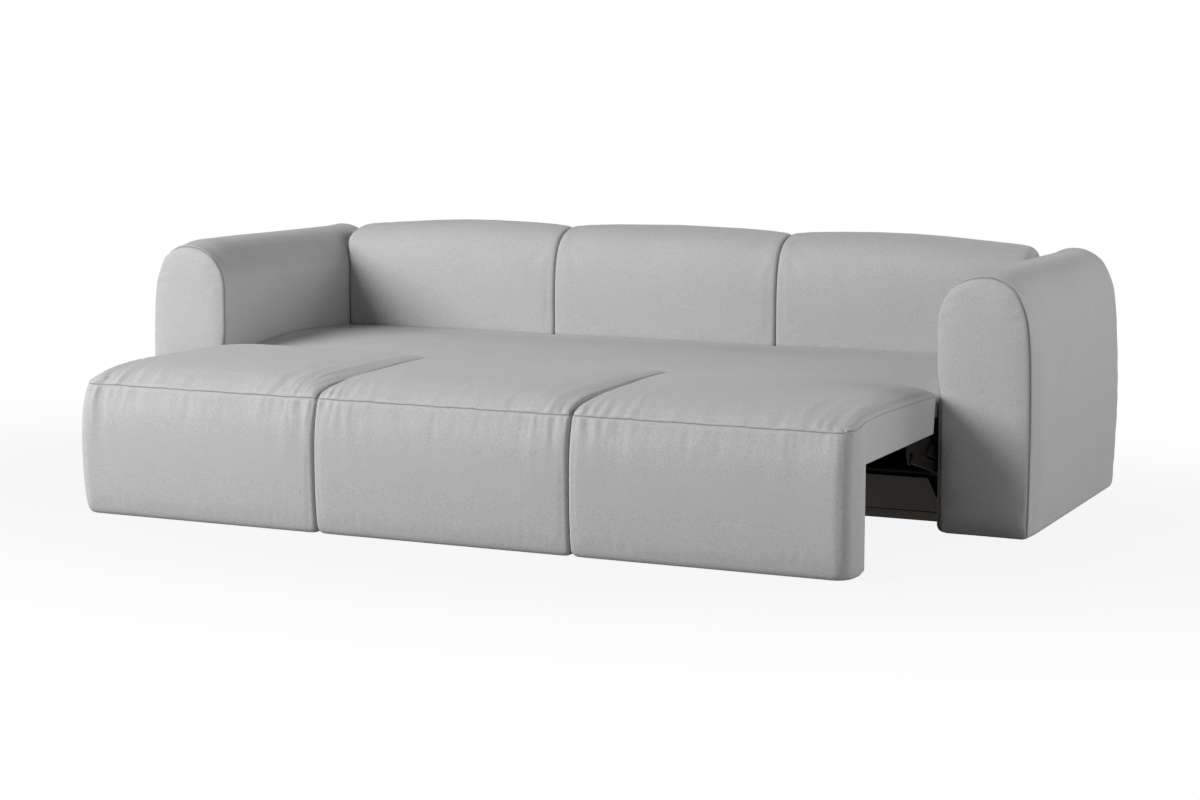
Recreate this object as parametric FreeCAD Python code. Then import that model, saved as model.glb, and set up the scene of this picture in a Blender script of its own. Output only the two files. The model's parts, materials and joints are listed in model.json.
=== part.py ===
import FreeCAD, Part
import math
import os

# Sofa bed shown open. Millimetres, +Z up, +X to the right as seen from the front.
# While it is built, y = 0 is the front plane of the arms and the back lies towards +y.
# Every solid is moved by depth_shift when it is saved, so the origin is the middle of the footprint.

# Overall sizes
inner_width = 2280.0        # clear width between the arms
arm_width = 260.0
arm_height = 725.0
back_height = 758.0
back_depth = 203.0          # face of the back cushions to the rear of the arms
bed_reach = 735.0           # reach of the open bed in front of the arms
glide_height = 8.0
module_gap = 3.0            # slit between neighbouring cushions

# Seat carriage, at its open place
apron_bulge = 23.0          # how far the front pads swell past the seam
apron_thickness = 125.0     # seam to the rear face of the apron
seam_height = 372.0
seat_crown_rise = 64.0      # crown above the seam
seat_valley_rise = 26.0     # lowest part of the crown line above the seam
seat_crown_run = 200.0      # the crown falls away over this distance from each cushion end
seat_under = 278.0
seat_side_gap = 3.0         # seat side to arm
frame_height = 40.0
deck_thickness = 4.0
seat_rail_width = 30.0
seat_wrap = 7.0             # upholstery beside and behind the seat frame
dust_cover = 1.0
apron_board_thickness = 18.0
apron_board_bottom = 10.0

# Swing linkage that carries the seat
closed_setback = 28.0       # closed seat's seam behind the front of the arms
closed_back_gap = 27.0      # closed seat to the back cushions
seat_overhang = 25.0        # rear seat pivot to the seat's rear
rest_angle = 15.0           # slope of the swing links at both ends of the travel
swing_axis_height = 135.0
swing_axis_offset = 22.0    # base front to the front swing axis
swing_axis_pitch = 145.0
swing_link_width = 30.0
swing_link_thickness = 5.0
plate_thickness = 4.0
bracket_thickness = 4.0
outer_washer = 1.5
inner_washer = 1.0
pin_radius = 6.0
pin_clearance = 0.05
head_radius = 9.0
head_thickness = 2.0
washer_radius = 12.0
torsion_tube_radius = 10.5
journal_length = 25.0
stop_distance = 62.0        # rear swing axis to the rubber buffers, along the link
stop_radius = 8.0
stop_clearance = 0.3

# Rear bed panel and its links
bed_gap = 23.0              # open seat to rear panel
panel_tuck = 3.0            # how far the panel goes under the back cushions
panel_side_gap = 20.0       # panel pad to arm
panel_under = 317.0
panel_frame_height = 28.0
panel_edge_height = 388.0
panel_crown_height = 406.0
panel_end_drop = 12.0
panel_end_run = 120.0
panel_link_length = 160.0
panel_axis_height = 118.0
panel_axis_offset = 77.0    # base front to the panel's front axis
panel_axis_inset = 195.0    # panel's rear axis to the panel's rear
panel_link_width = 26.0
panel_link_thickness = 5.0
panel_washer = 2.0
panel_bracket_thickness = 4.0
cross_tube_radius = 9.5

# Base between the arms
base_gap = 10.0             # closed apron to the base front panel
front_panel_thickness = 18.0
front_panel_top = 123.0
front_panel_side_gap = 29.0  # base front panel to arm
front_panel_cut = (45.0, 92.0)
plinth_bottom = 1.0
plinth_top = 27.0
plinth_groove = 1.5
side_rail_width = 36.0
side_rail_height = 60.0
cross_rail_height = 36.0
floor_board_thickness = 6.0
plate_bottom = 40.0
plate_top = 160.0
plate_front_setback = 2.0

# Back
back_frame_thickness = 18.0
rear_pad_thickness = 15.0
back_board_thickness = 4.0
back_rail_height = 80.0
back_post_width = 36.0
back_frame_top = 672.0
back_cushion_bottom = 402.0
back_gap_height = 742.0
back_corner = 95.0          # radius of the top corners beside the arms
back_crown_run = 130.0
soft_gap = 0.3

# Arms
arm_board = 16.0
arm_wall = 6.0              # padding between the arm's inner board and the seat
arm_outer_wall = 14.0
arm_front_wall = 22.0
arm_rear_wall = 12.0
arm_edge = 16.0
arm_box_top = 588.0

# Small parts
bolt_radius = 4.0
bolt_head_radius = 8.0
bolt_head_thickness = 4.0
screw_radius = 3.0
screw_head_radius = 6.0
screw_head_thickness = 1.2
base_glide_radius = 17.0
arm_glide_radius = 10.0
apron_glide_radius = 8.0

# Worked out from the sizes above: the travel follows the reach, and the depth follows the travel
half = inner_width / 2
module = inner_width / 3
seam_front = apron_bulge - bed_reach
apron_rear = seam_front + apron_thickness
travel = closed_setback - seam_front
base_front = apron_rear + travel + base_gap
front_axis = base_front + swing_axis_offset
rear_axis = front_axis + swing_axis_pitch
seat_rear = rear_axis - travel / 2 + seat_overhang
back_cushion_front = seat_rear + travel + closed_back_gap
arm_depth = back_cushion_front + back_depth
depth_shift = (bed_reach - arm_depth) / 2
panel_front = seat_rear + bed_gap
panel_rear = back_cushion_front + panel_tuck
panel_front_axis = base_front + panel_axis_offset
panel_rear_axis = panel_rear - panel_axis_inset
seat_crown_height = seam_height + seat_crown_rise
front_panel_half = half - front_panel_side_gap
slope = math.radians(rest_angle)
link_length = travel / 2 / math.cos(slope)
seat_pivot_height = swing_axis_height + link_length * math.sin(slope)
plate_inner = half - plate_thickness
link_outer = plate_inner - outer_washer
link_inner = link_outer - swing_link_thickness
bracket_outer = link_inner - inner_washer
bracket_inner = bracket_outer - bracket_thickness
panel_half = half - panel_side_gap
panel_link_outer = panel_half - 3.0
panel_link_inner = panel_link_outer - panel_link_thickness
panel_bracket_outer = panel_link_inner - panel_washer
panel_bracket_inner = panel_bracket_outer - panel_bracket_thickness
panel_pivot_height = panel_axis_height + panel_link_length
frame_top = seat_under + frame_height
deck_top = frame_top + deck_thickness
panel_frame_top = panel_under + panel_frame_height
panel_deck_top = panel_frame_top + deck_thickness
back_frame_rear = arm_depth - rear_pad_thickness
back_frame_front = back_frame_rear - back_frame_thickness
back_board_front = back_frame_front - back_board_thickness
side_rail_top = glide_height + side_rail_height
cross_rail_top = glide_height + cross_rail_height


def vec(x, y, z):
    return FreeCAD.Vector(x, y, z)


def box(x0, x1, y0, y1, z0, z1):
    return Part.makeBox(x1 - x0, y1 - y0, z1 - z0, vec(x0, y0, z0))


def rod(x0, x1, y, z, radius):
    return Part.makeCylinder(radius, x1 - x0, vec(x0, y, z), vec(1, 0, 0))


def upright(x, y, z0, z1, radius):
    return Part.makeCylinder(radius, z1 - z0, vec(x, y, z0), vec(0, 0, 1))


def level(x, z, y0, y1, radius):
    return Part.makeCylinder(radius, y1 - y0, vec(x, y0, z), vec(0, 1, 0))


def ring(x0, x1, y, z, outer, inner):
    return rod(x0, x1, y, z, outer).cut(rod(x0, x1, y, z, inner))


def line(a, b):
    return Part.LineSegment(a, b).toShape()


def arc(a, b, c):
    return Part.Arc(a, b, c).toShape()


def loft(wires):
    return Part.makeLoft(wires, True, True)


def rounded_end(run, drop, draw, steps=5):
    """Distance in from an end, fall of the crown and draw-in there, along a quarter ellipse."""
    rows = []
    for step in range(steps):
        turn = math.radians(90 * step / (steps - 1))
        fade = 1 - math.sin(turn)
        rows.append((run * (1 - math.cos(turn)), drop * fade, draw * fade))
    return rows


def stations_between(x0, x1, first_end, last_end):
    """Places along x with their drop and draw-in, from the forms of the two ends."""
    rows = [(x0 + t, drop, draw) for t, drop, draw in first_end]
    rows += [(x1 - t, drop, draw) for t, drop, draw in last_end]
    return sorted(rows)


def sheet_x(points, x0, x1):
    """A flat plate square to x, from its outline of (y, z) points."""
    corners = [vec(x0, y, z) for y, z in points]
    face = Part.Face(Part.makePolygon(corners + corners[:1]))
    return face.extrude(vec(x1 - x0, 0, 0))


def link_x(a, b, x0, x1, width, hole):
    """A flat bar with round ends between two (y, z) pivots, with a hole at each."""
    radius = width / 2
    length = math.hypot(b[0] - a[0], b[1] - a[1])
    along = ((b[0] - a[0]) / length, (b[1] - a[1]) / length)
    across = (-along[1] * radius, along[0] * radius)

    def spot(centre, side, forward):
        return vec(x0, centre[0] + side * across[0] + forward * radius * along[0],
                   centre[1] + side * across[1] + forward * radius * along[1])

    outline = Part.Wire([
        line(spot(a, 1, 0), spot(b, 1, 0)),
        arc(spot(b, 1, 0), spot(b, 0, 1), spot(b, -1, 0)),
        line(spot(b, -1, 0), spot(a, -1, 0)),
        arc(spot(a, -1, 0), spot(a, 0, -1), spot(a, 1, 0)),
    ])
    bar = Part.Face(outline).extrude(vec(x1 - x0, 0, 0))
    for centre in (a, b):
        bar = bar.cut(rod(x0, x1, centre[0], centre[1], hole))
    return bar


def mirrored(shape):
    return shape.mirror(vec(0, 0, 0), vec(1, 0, 0))


def both(shapes):
    return shapes + [mirrored(shape) for shape in shapes]


def save(node, shapes):
    """Writes one sub-part from its solids, moved to the part's own origin."""
    solids = []
    for shape in shapes:
        solids += shape.Solids
    group = Part.makeCompound(solids)
    group.translate(vec(0, depth_shift, 0))
    group.exportStep("parts/" + node + ".step")
    print(node, len(solids), "solids", round(group.Volume / 1000), "cm3", group.isValid())


os.makedirs("parts", exist_ok=True)

hole = pin_radius + pin_clearance
screw_hole = screw_radius + pin_clearance
bolt_hole = bolt_radius + pin_clearance
pivots = {
    "front": (front_axis, swing_axis_height),
    "rear": (rear_axis, swing_axis_height),
}
seat_pivots = {name: (y - travel / 2, seat_pivot_height) for name, (y, z) in pivots.items()}
panel_pivots = {"front": panel_front_axis, "rear": panel_rear_axis}


# Arms: a board box inside a padded arch
arch_radius = arm_width / 2
arch_spring = arm_height - arch_radius
box_inner = half + arm_wall
box_outer = half + arm_width - arm_outer_wall
box_front = arm_front_wall
box_rear = arm_depth - arm_rear_wall
back_bolt_y = back_frame_front + back_frame_thickness / 2
arm_bolt_height = (glide_height + plate_bottom) / 2
arm_bolt_spots = [(base_front + 180.0, arm_bolt_height), (back_frame_front - 60.0, arm_bolt_height)]
back_bolt_spots = [(back_bolt_y, 150.0), (back_bolt_y, 560.0)]
arm_boards_top = min(arm_box_top, arch_spring - 7.0)


def arch_wire(y, inset):
    left, right = half + inset * 0.25, half + arm_width - inset
    bottom = glide_height + inset * 0.4
    crown = arm_height - inset
    radius = (right - left) / 2
    middle = left + radius
    spring = crown - radius
    lean = radius * math.sin(math.radians(45))
    return Part.Wire([
        line(vec(left, y, bottom), vec(right, y, bottom)),
        line(vec(right, y, bottom), vec(right, y, spring)),
        arc(vec(right, y, spring), vec(middle + lean, y, spring + lean), vec(middle, y, crown)),
        arc(vec(middle, y, crown), vec(middle - lean, y, spring + lean), vec(left, y, spring)),
        line(vec(left, y, spring), vec(left, y, bottom)),
    ])


def arm_padding():
    steps = [math.radians(a) for a in (90, 60, 30, 0)]
    front = [arch_wire(arm_edge * (1 - math.sin(a)), arm_edge * (1 - math.cos(a))) for a in steps]
    rear = [arch_wire(arm_depth - arm_edge * (1 - math.sin(a)), arm_edge * (1 - math.cos(a)))
            for a in reversed(steps)]
    pad = loft(front + rear)
    pad = pad.cut(box(box_inner, box_outer, box_front, box_rear, 0, arm_boards_top))
    for y, z in arm_bolt_spots + back_bolt_spots:
        pad = pad.cut(rod(half - 1, box_inner + 1, y, z, bolt_hole))
    for y, z in plate_screw_spots:
        pad = pad.cut(rod(half - 1, box_inner + 1, y, z, screw_hole))
    return pad


def arm_frame():
    inner = box(box_inner, box_inner + arm_board, box_front, box_rear, glide_height, arm_boards_top)
    for y, z in arm_bolt_spots + back_bolt_spots:
        inner = inner.cut(rod(box_inner - 1, box_inner + arm_board + 1, y, z, bolt_hole))
    for y, z in plate_screw_spots:
        inner = inner.cut(rod(box_inner - 1, box_inner + arm_board, y, z, screw_hole))
    outer = box(box_outer - arm_board, box_outer, box_front, box_rear, glide_height, arm_boards_top)
    x0, x1 = box_inner + arm_board, box_outer - arm_board
    front = box(x0, x1, box_front, box_front + arm_board, glide_height, arm_boards_top)
    rear = box(x0, x1, box_rear - arm_board, box_rear, glide_height, arm_boards_top)
    y0, y1 = box_front + arm_board, box_rear - arm_board
    top = box(x0, x1, y0, y1, arm_boards_top - arm_board, arm_boards_top)
    middle = (y0 + y1 - arm_board) / 2
    web = box(x0, x1, middle, middle + arm_board, glide_height, arm_boards_top - arm_board)
    return [inner, outer, front, rear, top, web]


# Swing plates screwed to the arms' inner boards
plate_front = base_front + plate_front_setback
plate_rear = panel_rear_axis + 40.0
plate_screw_spots = [
    (plate_front + 16.0, plate_bottom + 42.0),
    (front_axis + swing_axis_pitch / 2, plate_bottom + 44.0),
    (rear_axis + 110.0, plate_bottom + 50.0),
    (plate_rear - 16.0, plate_bottom + 46.0),
]
stop_spots = []
for side in (-1, 1):
    along_y = side * math.cos(slope) * stop_distance
    along_z = math.sin(slope) * stop_distance
    offset = swing_link_width / 2 + stop_radius + stop_clearance
    stop_spots.append((rear_axis + along_y + side * math.sin(slope) * offset,
                       swing_axis_height + along_z - math.cos(slope) * offset))


def side_plate():
    nose = plate_front + 16.0
    plate = sheet_x([
        (plate_front, plate_bottom), (plate_rear, plate_bottom),
        (plate_rear, panel_axis_height + 6.0), (plate_rear - 24.0, panel_axis_height + 22.0),
        (rear_axis + 60.0, panel_axis_height + 22.0), (rear_axis + 30.0, plate_top),
        (nose, plate_top), (plate_front, plate_top - 16.0),
    ], plate_inner, half)
    for y, z in pivots.values():
        plate = plate.cut(rod(plate_inner, half, y, z, hole))
    for y in panel_pivots.values():
        plate = plate.cut(rod(plate_inner, half, y, panel_axis_height, hole))
    for y, z in plate_screw_spots:
        plate = plate.cut(rod(plate_inner, half, y, z, screw_hole))
    for y, z in stop_spots:
        plate = plate.cut(rod(plate_inner, half, y, z, bolt_hole))
    return plate


def screw(x_head, y, z, length):
    """A pan head screw that points towards +x, with its head under x_head."""
    head = rod(x_head - screw_head_thickness, x_head, y, z, screw_head_radius)
    return head.fuse(rod(x_head, x_head + length, y, z, screw_radius))


# Base rails, floor and front
def base_side_rail():
    rail = box(plate_inner - side_rail_width, plate_inner, base_front + front_panel_thickness,
               back_frame_front, glide_height, side_rail_top)
    for y, z in arm_bolt_spots:
        rail = rail.cut(rod(plate_inner - side_rail_width, plate_inner, y, z, bolt_hole))
    return rail


def packing_strip():
    """Thin strip under the swing plate that carries the side rail on to the arm."""
    strip = box(plate_inner, half, floor_front, back_frame_front, glide_height, plate_bottom)
    for y, z in arm_bolt_spots:
        strip = strip.cut(rod(plate_inner, half, y, z, bolt_hole))
    return strip


def base_front_panel():
    cut_x, cut_z = front_panel_cut
    h, top = front_panel_half, front_panel_top
    points = [
        (-h, plinth_top + plinth_groove), (h, plinth_top + plinth_groove), (h, top - cut_z),
        (h - cut_x, top), (cut_x - h, top), (-h, top - cut_z),
    ]
    corners = [vec(x, base_front, z) for x, z in points]
    face = Part.Face(Part.makePolygon(corners + corners[:1]))
    return face.extrude(vec(0, front_panel_thickness, 0))


rail_inner = plate_inner - side_rail_width
floor_front = base_front + front_panel_thickness
cross_rail_spots = [floor_front, (floor_front + back_frame_front) / 2, back_frame_front - side_rail_width]
cross_rails = [box(-rail_inner, rail_inner, y, y + side_rail_width, glide_height, cross_rail_top)
               for y in cross_rail_spots]
floor_board = box(-rail_inner, rail_inner, floor_front, back_frame_front, cross_rail_top,
                  cross_rail_top + floor_board_thickness)
base_glide_y = [floor_front + side_rail_width / 2, back_frame_front - side_rail_width / 2]
rail_middle = plate_inner - side_rail_width / 2
base_glides = [upright(x, y, 0, glide_height, base_glide_radius)
               for x in (-rail_middle, 0, rail_middle) for y in base_glide_y]
arm_glides = [upright(side * arm_middle_x, y, 0, glide_height, arm_glide_radius)
              for side in (-1, 1)
              for arm_middle_x in (box_inner + arm_board / 2, box_outer - arm_board / 2)
              for y in (box_front + 40.0, box_rear - 70.0)]


# Pins, washers, studs, buffers and bolts on the fixed side
swing_pins = []
swing_washers = []
for name, (y, z) in pivots.items():
    end = link_inner - (journal_length if name == "front" else 0)
    pin = rod(end, half, y, z, pin_radius)
    if name == "rear":
        pin = pin.fuse(rod(link_inner - head_thickness, link_inner, y, z, head_radius))
    swing_pins.append(pin)
    swing_washers.append(ring(link_outer, plate_inner, y, z, washer_radius, hole))
panel_studs = []
for name, y in panel_pivots.items():
    z = panel_axis_height
    reach = journal_length if name == "rear" else 0
    stud = rod(panel_link_inner - reach, half, y, z, pin_radius)
    stud = stud.fuse(rod(panel_link_outer, plate_inner, y, z, head_radius))
    if name == "front":
        stud = stud.fuse(rod(panel_link_inner - head_thickness, panel_link_inner, y, z, head_radius))
    panel_studs.append(stud)
buffers = [rod(link_inner, plate_inner, y, z, stop_radius).fuse(rod(plate_inner, half, y, z, bolt_radius))
           for y, z in stop_spots]
plate_screws = [screw(plate_inner, y, z, half + arm_wall + arm_board - plate_inner - 2.0)
                for y, z in plate_screw_spots]


def bolt(x_head, x_end, y, z):
    head = rod(x_head - bolt_head_thickness, x_head, y, z, bolt_head_radius)
    return head.fuse(rod(x_head, x_end, y, z, bolt_radius))


arm_bolts = [bolt(rail_inner, box_inner + arm_board, y, z) for y, z in arm_bolt_spots]
post_inner = half - back_post_width
back_bolts = [bolt(post_inner, box_inner + arm_board, y, z) for y, z in back_bolt_spots]


# Back: timber frame, thin board, three cushions and a rear pad
def back_frame():
    y0, y1 = back_frame_front, back_frame_rear
    bottom_top = glide_height + back_rail_height
    top_bottom = back_frame_top - back_rail_height
    rails = [box(-post_inner, post_inner, y0, y1, glide_height, bottom_top),
             box(-post_inner, post_inner, y0, y1, top_bottom, back_frame_top)]
    inner_posts = [box(x - back_post_width / 2, x + back_post_width / 2, y0, y1, bottom_top, top_bottom)
                   for x in (-module / 2, module / 2)]
    end_post = box(post_inner, half, y0, y1, glide_height, back_frame_top)
    for y, z in back_bolt_spots:
        end_post = end_post.cut(rod(post_inner, half, y, z, bolt_hole))
    return rails + inner_posts + both([end_post])


def back_section(x, top, draw):
    """Outline square to x: flat base and rear, bowed front that rolls into the crown."""
    rear = back_board_front - soft_gap
    front = back_cushion_front + draw
    bottom = back_cushion_bottom + draw * 0.5
    roll = 105.0 - draw
    shoulder = top - 88.0
    a = vec(x, rear, bottom)
    b = vec(x, front + 26.0, bottom)
    c = vec(x, front + 6.0, bottom + 24.0)
    d = vec(x, front + 8.0, shoulder)
    e = vec(x, front + roll, top)
    f = vec(x, rear, top - 10.0)
    return Part.Wire([
        line(a, b),
        arc(b, vec(x, front + 12.0, bottom + 8.0), c),
        arc(c, vec(x, front, (bottom + shoulder) / 2), d),
        arc(d, vec(x, front + roll * 0.36, top - 25.0), e),
        arc(e, vec(x, (front + roll + rear) / 2 + 4.0, top - 1.5), f),
        line(f, a),
    ])


def back_cushion(x0, x1, left_end, right_end):
    """A cushion between two x places; an end beside an arm has the larger rounded corner."""
    forms = {
        True: rounded_end(back_corner, back_corner, 10.0, 7),
        False: rounded_end(back_crown_run, back_height - back_gap_height, 7.0),
    }
    rows = stations_between(x0, x1, forms[left_end], forms[right_end])
    return loft([back_section(x, back_height - drop, draw) for x, drop, draw in rows])


def rear_pad():
    """Thin padded cover behind the frame, with softened rear edges."""
    wires = []
    for y, inset in ((0, 0), (0.55, 1.5), (0.85, 6.0), (1.0, 13.0)):
        depth = back_frame_rear + y * rear_pad_thickness
        x = half - 0.5 - inset
        bottom, top = glide_height + 2.0 + inset, back_frame_top + 24.0 - inset
        corners = [vec(-x, depth, bottom), vec(x, depth, bottom), vec(x, depth, top), vec(-x, depth, top)]
        wires.append(Part.makePolygon(corners + corners[:1]))
    return loft(wires)


# Seat carriage: frame, deck, cushions with a pocket for the frame, and the apron in front
frame_front = apron_rear
frame_rear = seat_rear - seat_wrap
pocket_half = half - seat_side_gap - seat_wrap


def seat_frame():
    z0, z1 = seat_under, frame_top
    w = seat_rail_width
    outer = bracket_inner
    long_rails = [box(-outer, outer, frame_front, frame_front + w, z0, z1),
                  box(-outer, outer, frame_rear - w, frame_rear, z0, z1)]
    spots = (-outer, -module / 2 - w / 2, module / 2 - w / 2, outer - w)
    short_rails = [box(x, x + w, frame_front + w, frame_rear - w, z0, z1) for x in spots]
    for index in (0, 3):
        for y, z in seat_screw_spots:
            short_rails[index] = short_rails[index].cut(rod(-half, half, y, z, screw_hole))
    for x in apron_bracket_spots:
        long_rails[0] = long_rails[0].cut(upright(x, frame_front + w / 2, z0, z1, screw_hole))
    return long_rails + short_rails


def seat_section(x, crown, draw):
    """Outline square to x: front roll, crown and rear roll above a flat underside."""
    front, rear = seam_front + draw, seat_rear - draw * 0.5
    rise = crown - seam_height
    rear_seam = seam_height + rise * 0.35
    a, b = vec(x, rear, seat_under), vec(x, front, seat_under)
    c = vec(x, front, seam_height)
    d = vec(x, front + 150.0, seam_height + rise * 0.92)
    e = vec(x, rear - 60.0, seam_height + rise * 0.86)
    f = vec(x, rear, rear_seam)
    return Part.Wire([
        line(a, b),
        line(b, c),
        arc(c, vec(x, front + 48.0, seam_height + rise * 0.62), d),
        arc(d, vec(x, (front + rear) / 2, crown), e),
        arc(e, vec(x, rear - 16.0, seam_height + rise * 0.66), f),
        line(f, a),
    ])


def seat_cushion(x0, x1, left_end, right_end):
    dip = seat_crown_rise - seat_valley_rise
    forms = {
        True: rounded_end(seat_crown_run, dip + 5.0, 9.0),
        False: rounded_end(seat_crown_run, dip, 6.0),
    }
    rows = stations_between(x0, x1, forms[left_end], forms[right_end])
    pad = loft([seat_section(x, seat_crown_height - drop, draw) for x, drop, draw in rows])
    pad = pad.cut(box(-half, half, -bed_reach, apron_rear, 0, seam_height + soft_gap))
    pad = pad.cut(box(-pocket_half, pocket_half, -bed_reach, frame_rear, 0, deck_top))
    return pad


def pad_section(z, x0, x1, front, sweep, corner):
    """Level outline of a front pad: bowed front, round front corners, straight rear."""
    y0, y1 = front + sweep, apron_rear
    k = corner * (1 - math.sin(math.radians(45)))
    a, b = vec(x0 + corner, y0, z), vec(x1 - corner, y0, z)
    return Part.Wire([
        arc(a, vec((x0 + x1) / 2, front, z), b),
        arc(b, vec(x1 - k, y0 + k, z), vec(x1, y0 + corner, z)),
        line(vec(x1, y0 + corner, z), vec(x1, y1, z)),
        line(vec(x1, y1, z), vec(x0, y1, z)),
        line(vec(x0, y1, z), vec(x0, y0 + corner, z)),
        arc(vec(x0, y0 + corner, z), vec(x0 + k, y0 + k, z), a),
    ])


def front_pad(x0, x1, left_end, right_end):
    bottom, top = apron_board_bottom, seam_height
    levels = 9
    wires = []
    for step in range(levels):
        share = step / (levels - 1)
        swell = math.sin(math.pi * min(1.0, share * 0.92 + 0.08)) ** 0.6
        narrow = 12.0 * (1 - swell)
        left = x0 + (narrow if left_end else narrow * 0.3)
        right = x1 - (narrow if right_end else narrow * 0.3)
        wires.append(pad_section(bottom + share * (top - bottom), left, right,
                                 seam_front - apron_bulge * swell, 5.0, 16.0))
    pad = loft(wires)
    recess = box(-apron_board_half, apron_board_half, apron_rear - apron_board_thickness, apron_rear,
                 0, apron_board_top)
    return pad.cut(recess)


apron_board_half = pocket_half
apron_board_top = frame_top
apron_bracket_spots = [side * (module / 2 + t) for side in (-1, 1) for t in (-150.0, 150.0)]
apron_bracket_leg = 70.0
apron_bracket_width = 40.0
apron_bracket_thickness = 3.0
seat_screw_height = seat_under + frame_height / 2
seat_bracket_reach = 40.0   # bracket's front end past the front seat pivot
seat_screw_spots = [(seat_pivots["front"][0] - 20.0, seat_screw_height),
                    ((seat_pivots["front"][0] + seat_pivots["rear"][0]) / 2, seat_screw_height),
                    (seat_pivots["rear"][0] - 30.0, seat_screw_height)]


def seat_bracket():
    y0 = seat_pivots["front"][0] - seat_bracket_reach
    y1 = frame_rear - 1.0
    low = seat_pivot_height - 17.0
    bracket = sheet_x([
        (y0 + 22.0, low), (y1 - 6.0, low), (y1, seat_pivot_height + 20.0), (y1, frame_top),
        (y0, frame_top), (y0, seat_pivot_height + 20.0),
    ], bracket_inner, bracket_outer)
    for y, z in seat_pivots.values():
        bracket = bracket.cut(rod(bracket_inner, bracket_outer, y, z, hole))
    for y, z in seat_screw_spots:
        bracket = bracket.cut(rod(bracket_inner, bracket_outer, y, z, screw_hole))
    return bracket


def rivet(x0, x1, y, z):
    """A pivot pin with a head at each end, clamping what lies between x0 and x1."""
    pin = rod(x0 - head_thickness, x0, y, z, head_radius)
    pin = pin.fuse(rod(x0, x1, y, z, pin_radius))
    return pin.fuse(rod(x1, x1 + head_thickness, y, z, head_radius))


seat_pins = [rivet(bracket_inner, link_outer, y, z) for y, z in seat_pivots.values()]
seat_washers = [ring(bracket_outer, link_inner, y, z, washer_radius, hole) for y, z in seat_pivots.values()]
seat_screws = [rod(bracket_outer, bracket_outer + screw_head_thickness, y, z, screw_head_radius)
               .fuse(rod(bracket_inner - seat_rail_width + 4.0, bracket_outer, y, z, screw_radius))
               for y, z in seat_screw_spots]


def apron_board():
    board = box(-apron_board_half, apron_board_half, apron_rear - apron_board_thickness, apron_rear,
                apron_board_bottom, apron_board_top)
    for x in apron_bracket_spots:
        z = seat_under - apron_bracket_leg / 2
        board = board.cut(level(x, z, apron_rear - apron_board_thickness, apron_rear, screw_hole))
    return board


def apron_bracket(x):
    """Steel angle under the frame's front rail and behind the apron board."""
    x0, x1 = x - apron_bracket_width / 2, x + apron_bracket_width / 2
    t = apron_bracket_thickness
    upper = box(x0, x1, apron_rear, apron_rear + seat_rail_width, seat_under - t, seat_under)
    lower = box(x0, x1, apron_rear, apron_rear + t, seat_under - apron_bracket_leg, seat_under)
    angle = upper.fuse(lower)
    angle = angle.cut(upright(x, frame_front + seat_rail_width / 2, seat_under - t, seat_under, screw_hole))
    return angle.cut(level(x, seat_under - apron_bracket_leg / 2, apron_rear, apron_rear + t, screw_hole))


def apron_screw_pair(x):
    t = apron_bracket_thickness
    y = frame_front + seat_rail_width / 2
    head = upright(x, y, seat_under - t - screw_head_thickness, seat_under - t, screw_head_radius)
    rising = head.fuse(upright(x, y, seat_under - t, frame_top - 4.0, screw_radius))
    z = seat_under - apron_bracket_leg / 2
    face = apron_rear + t
    head = level(x, z, face, face + screw_head_thickness, screw_head_radius)
    return [rising, head.fuse(level(x, z, apron_rear - apron_board_thickness + 3.0, face, screw_radius))]


cover_inset = seat_rail_width + apron_bracket_thickness
seat_dust_cover = box(-bracket_inner + 1, bracket_inner - 1, frame_front + cover_inset, frame_rear - 1,
                      seat_under - dust_cover, seat_under)
apron_glides = [upright(x, apron_rear - apron_board_thickness / 2, 0, apron_board_bottom, apron_glide_radius)
                for x in (-apron_board_half + 40.0, -module / 2, module / 2, apron_board_half - 40.0)]


# Swing links
def swing_link(name):
    return link_x(pivots[name], seat_pivots[name], link_inner, link_outer, swing_link_width, hole)


torsion_tube = ring(-link_inner, link_inner, front_axis, swing_axis_height, torsion_tube_radius, hole)


# Rear bed panel, its links, studs and cross tube
panel_frame_half = panel_bracket_inner
panel_rail_width = 34.0
panel_screw_height = panel_under + panel_frame_height / 2
panel_bracket_half = 24.0
panel_screw_spots = [(y + t, panel_screw_height) for y in panel_pivots.values() for t in (-12.0, 12.0)]


def panel_frame():
    w, z0, z1 = panel_rail_width, panel_under, panel_frame_top
    outer = panel_frame_half
    y0, y1 = panel_front + 10.0, panel_rear - 10.0
    rails = [box(-outer, outer, y0, y0 + w, z0, z1), box(-outer, outer, y1 - w, y1, z0, z1)]
    for x in (-outer, -module / 2 - w / 2, module / 2 - w / 2, outer - w):
        rail = box(x, x + w, y0 + w, y1 - w, z0, z1)
        if abs(x + w / 2) > module:
            for y, z in panel_screw_spots:
                rail = rail.cut(rod(-half, half, y, z, screw_hole))
        rails.append(rail)
    return rails


def panel_pad():
    """One wide pad, crowned across its depth, with drawn-in ends."""
    end = rounded_end(panel_end_run, panel_end_drop, 9.0)
    wires = []
    for x, drop, draw in stations_between(-panel_half, panel_half, end, end):
        y0, y1 = panel_front + draw, panel_rear - draw * 0.4
        edge = panel_edge_height - drop * 0.5
        crown = panel_crown_height - drop
        a, b = vec(x, y1, panel_deck_top), vec(x, y0, panel_deck_top)
        c, d = vec(x, y0, edge - 22.0), vec(x, y0 + 26.0, edge)
        e, f = vec(x, y1 - 20.0, edge), vec(x, y1, edge - 16.0)
        wires.append(Part.Wire([
            line(a, b),
            line(b, c),
            arc(c, vec(x, y0 + 7.0, edge - 7.0), d),
            arc(d, vec(x, (y0 + y1) / 2, crown), e),
            arc(e, vec(x, y1 - 5.0, edge - 4.5), f),
            line(f, a),
        ]))
    return loft(wires)


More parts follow.
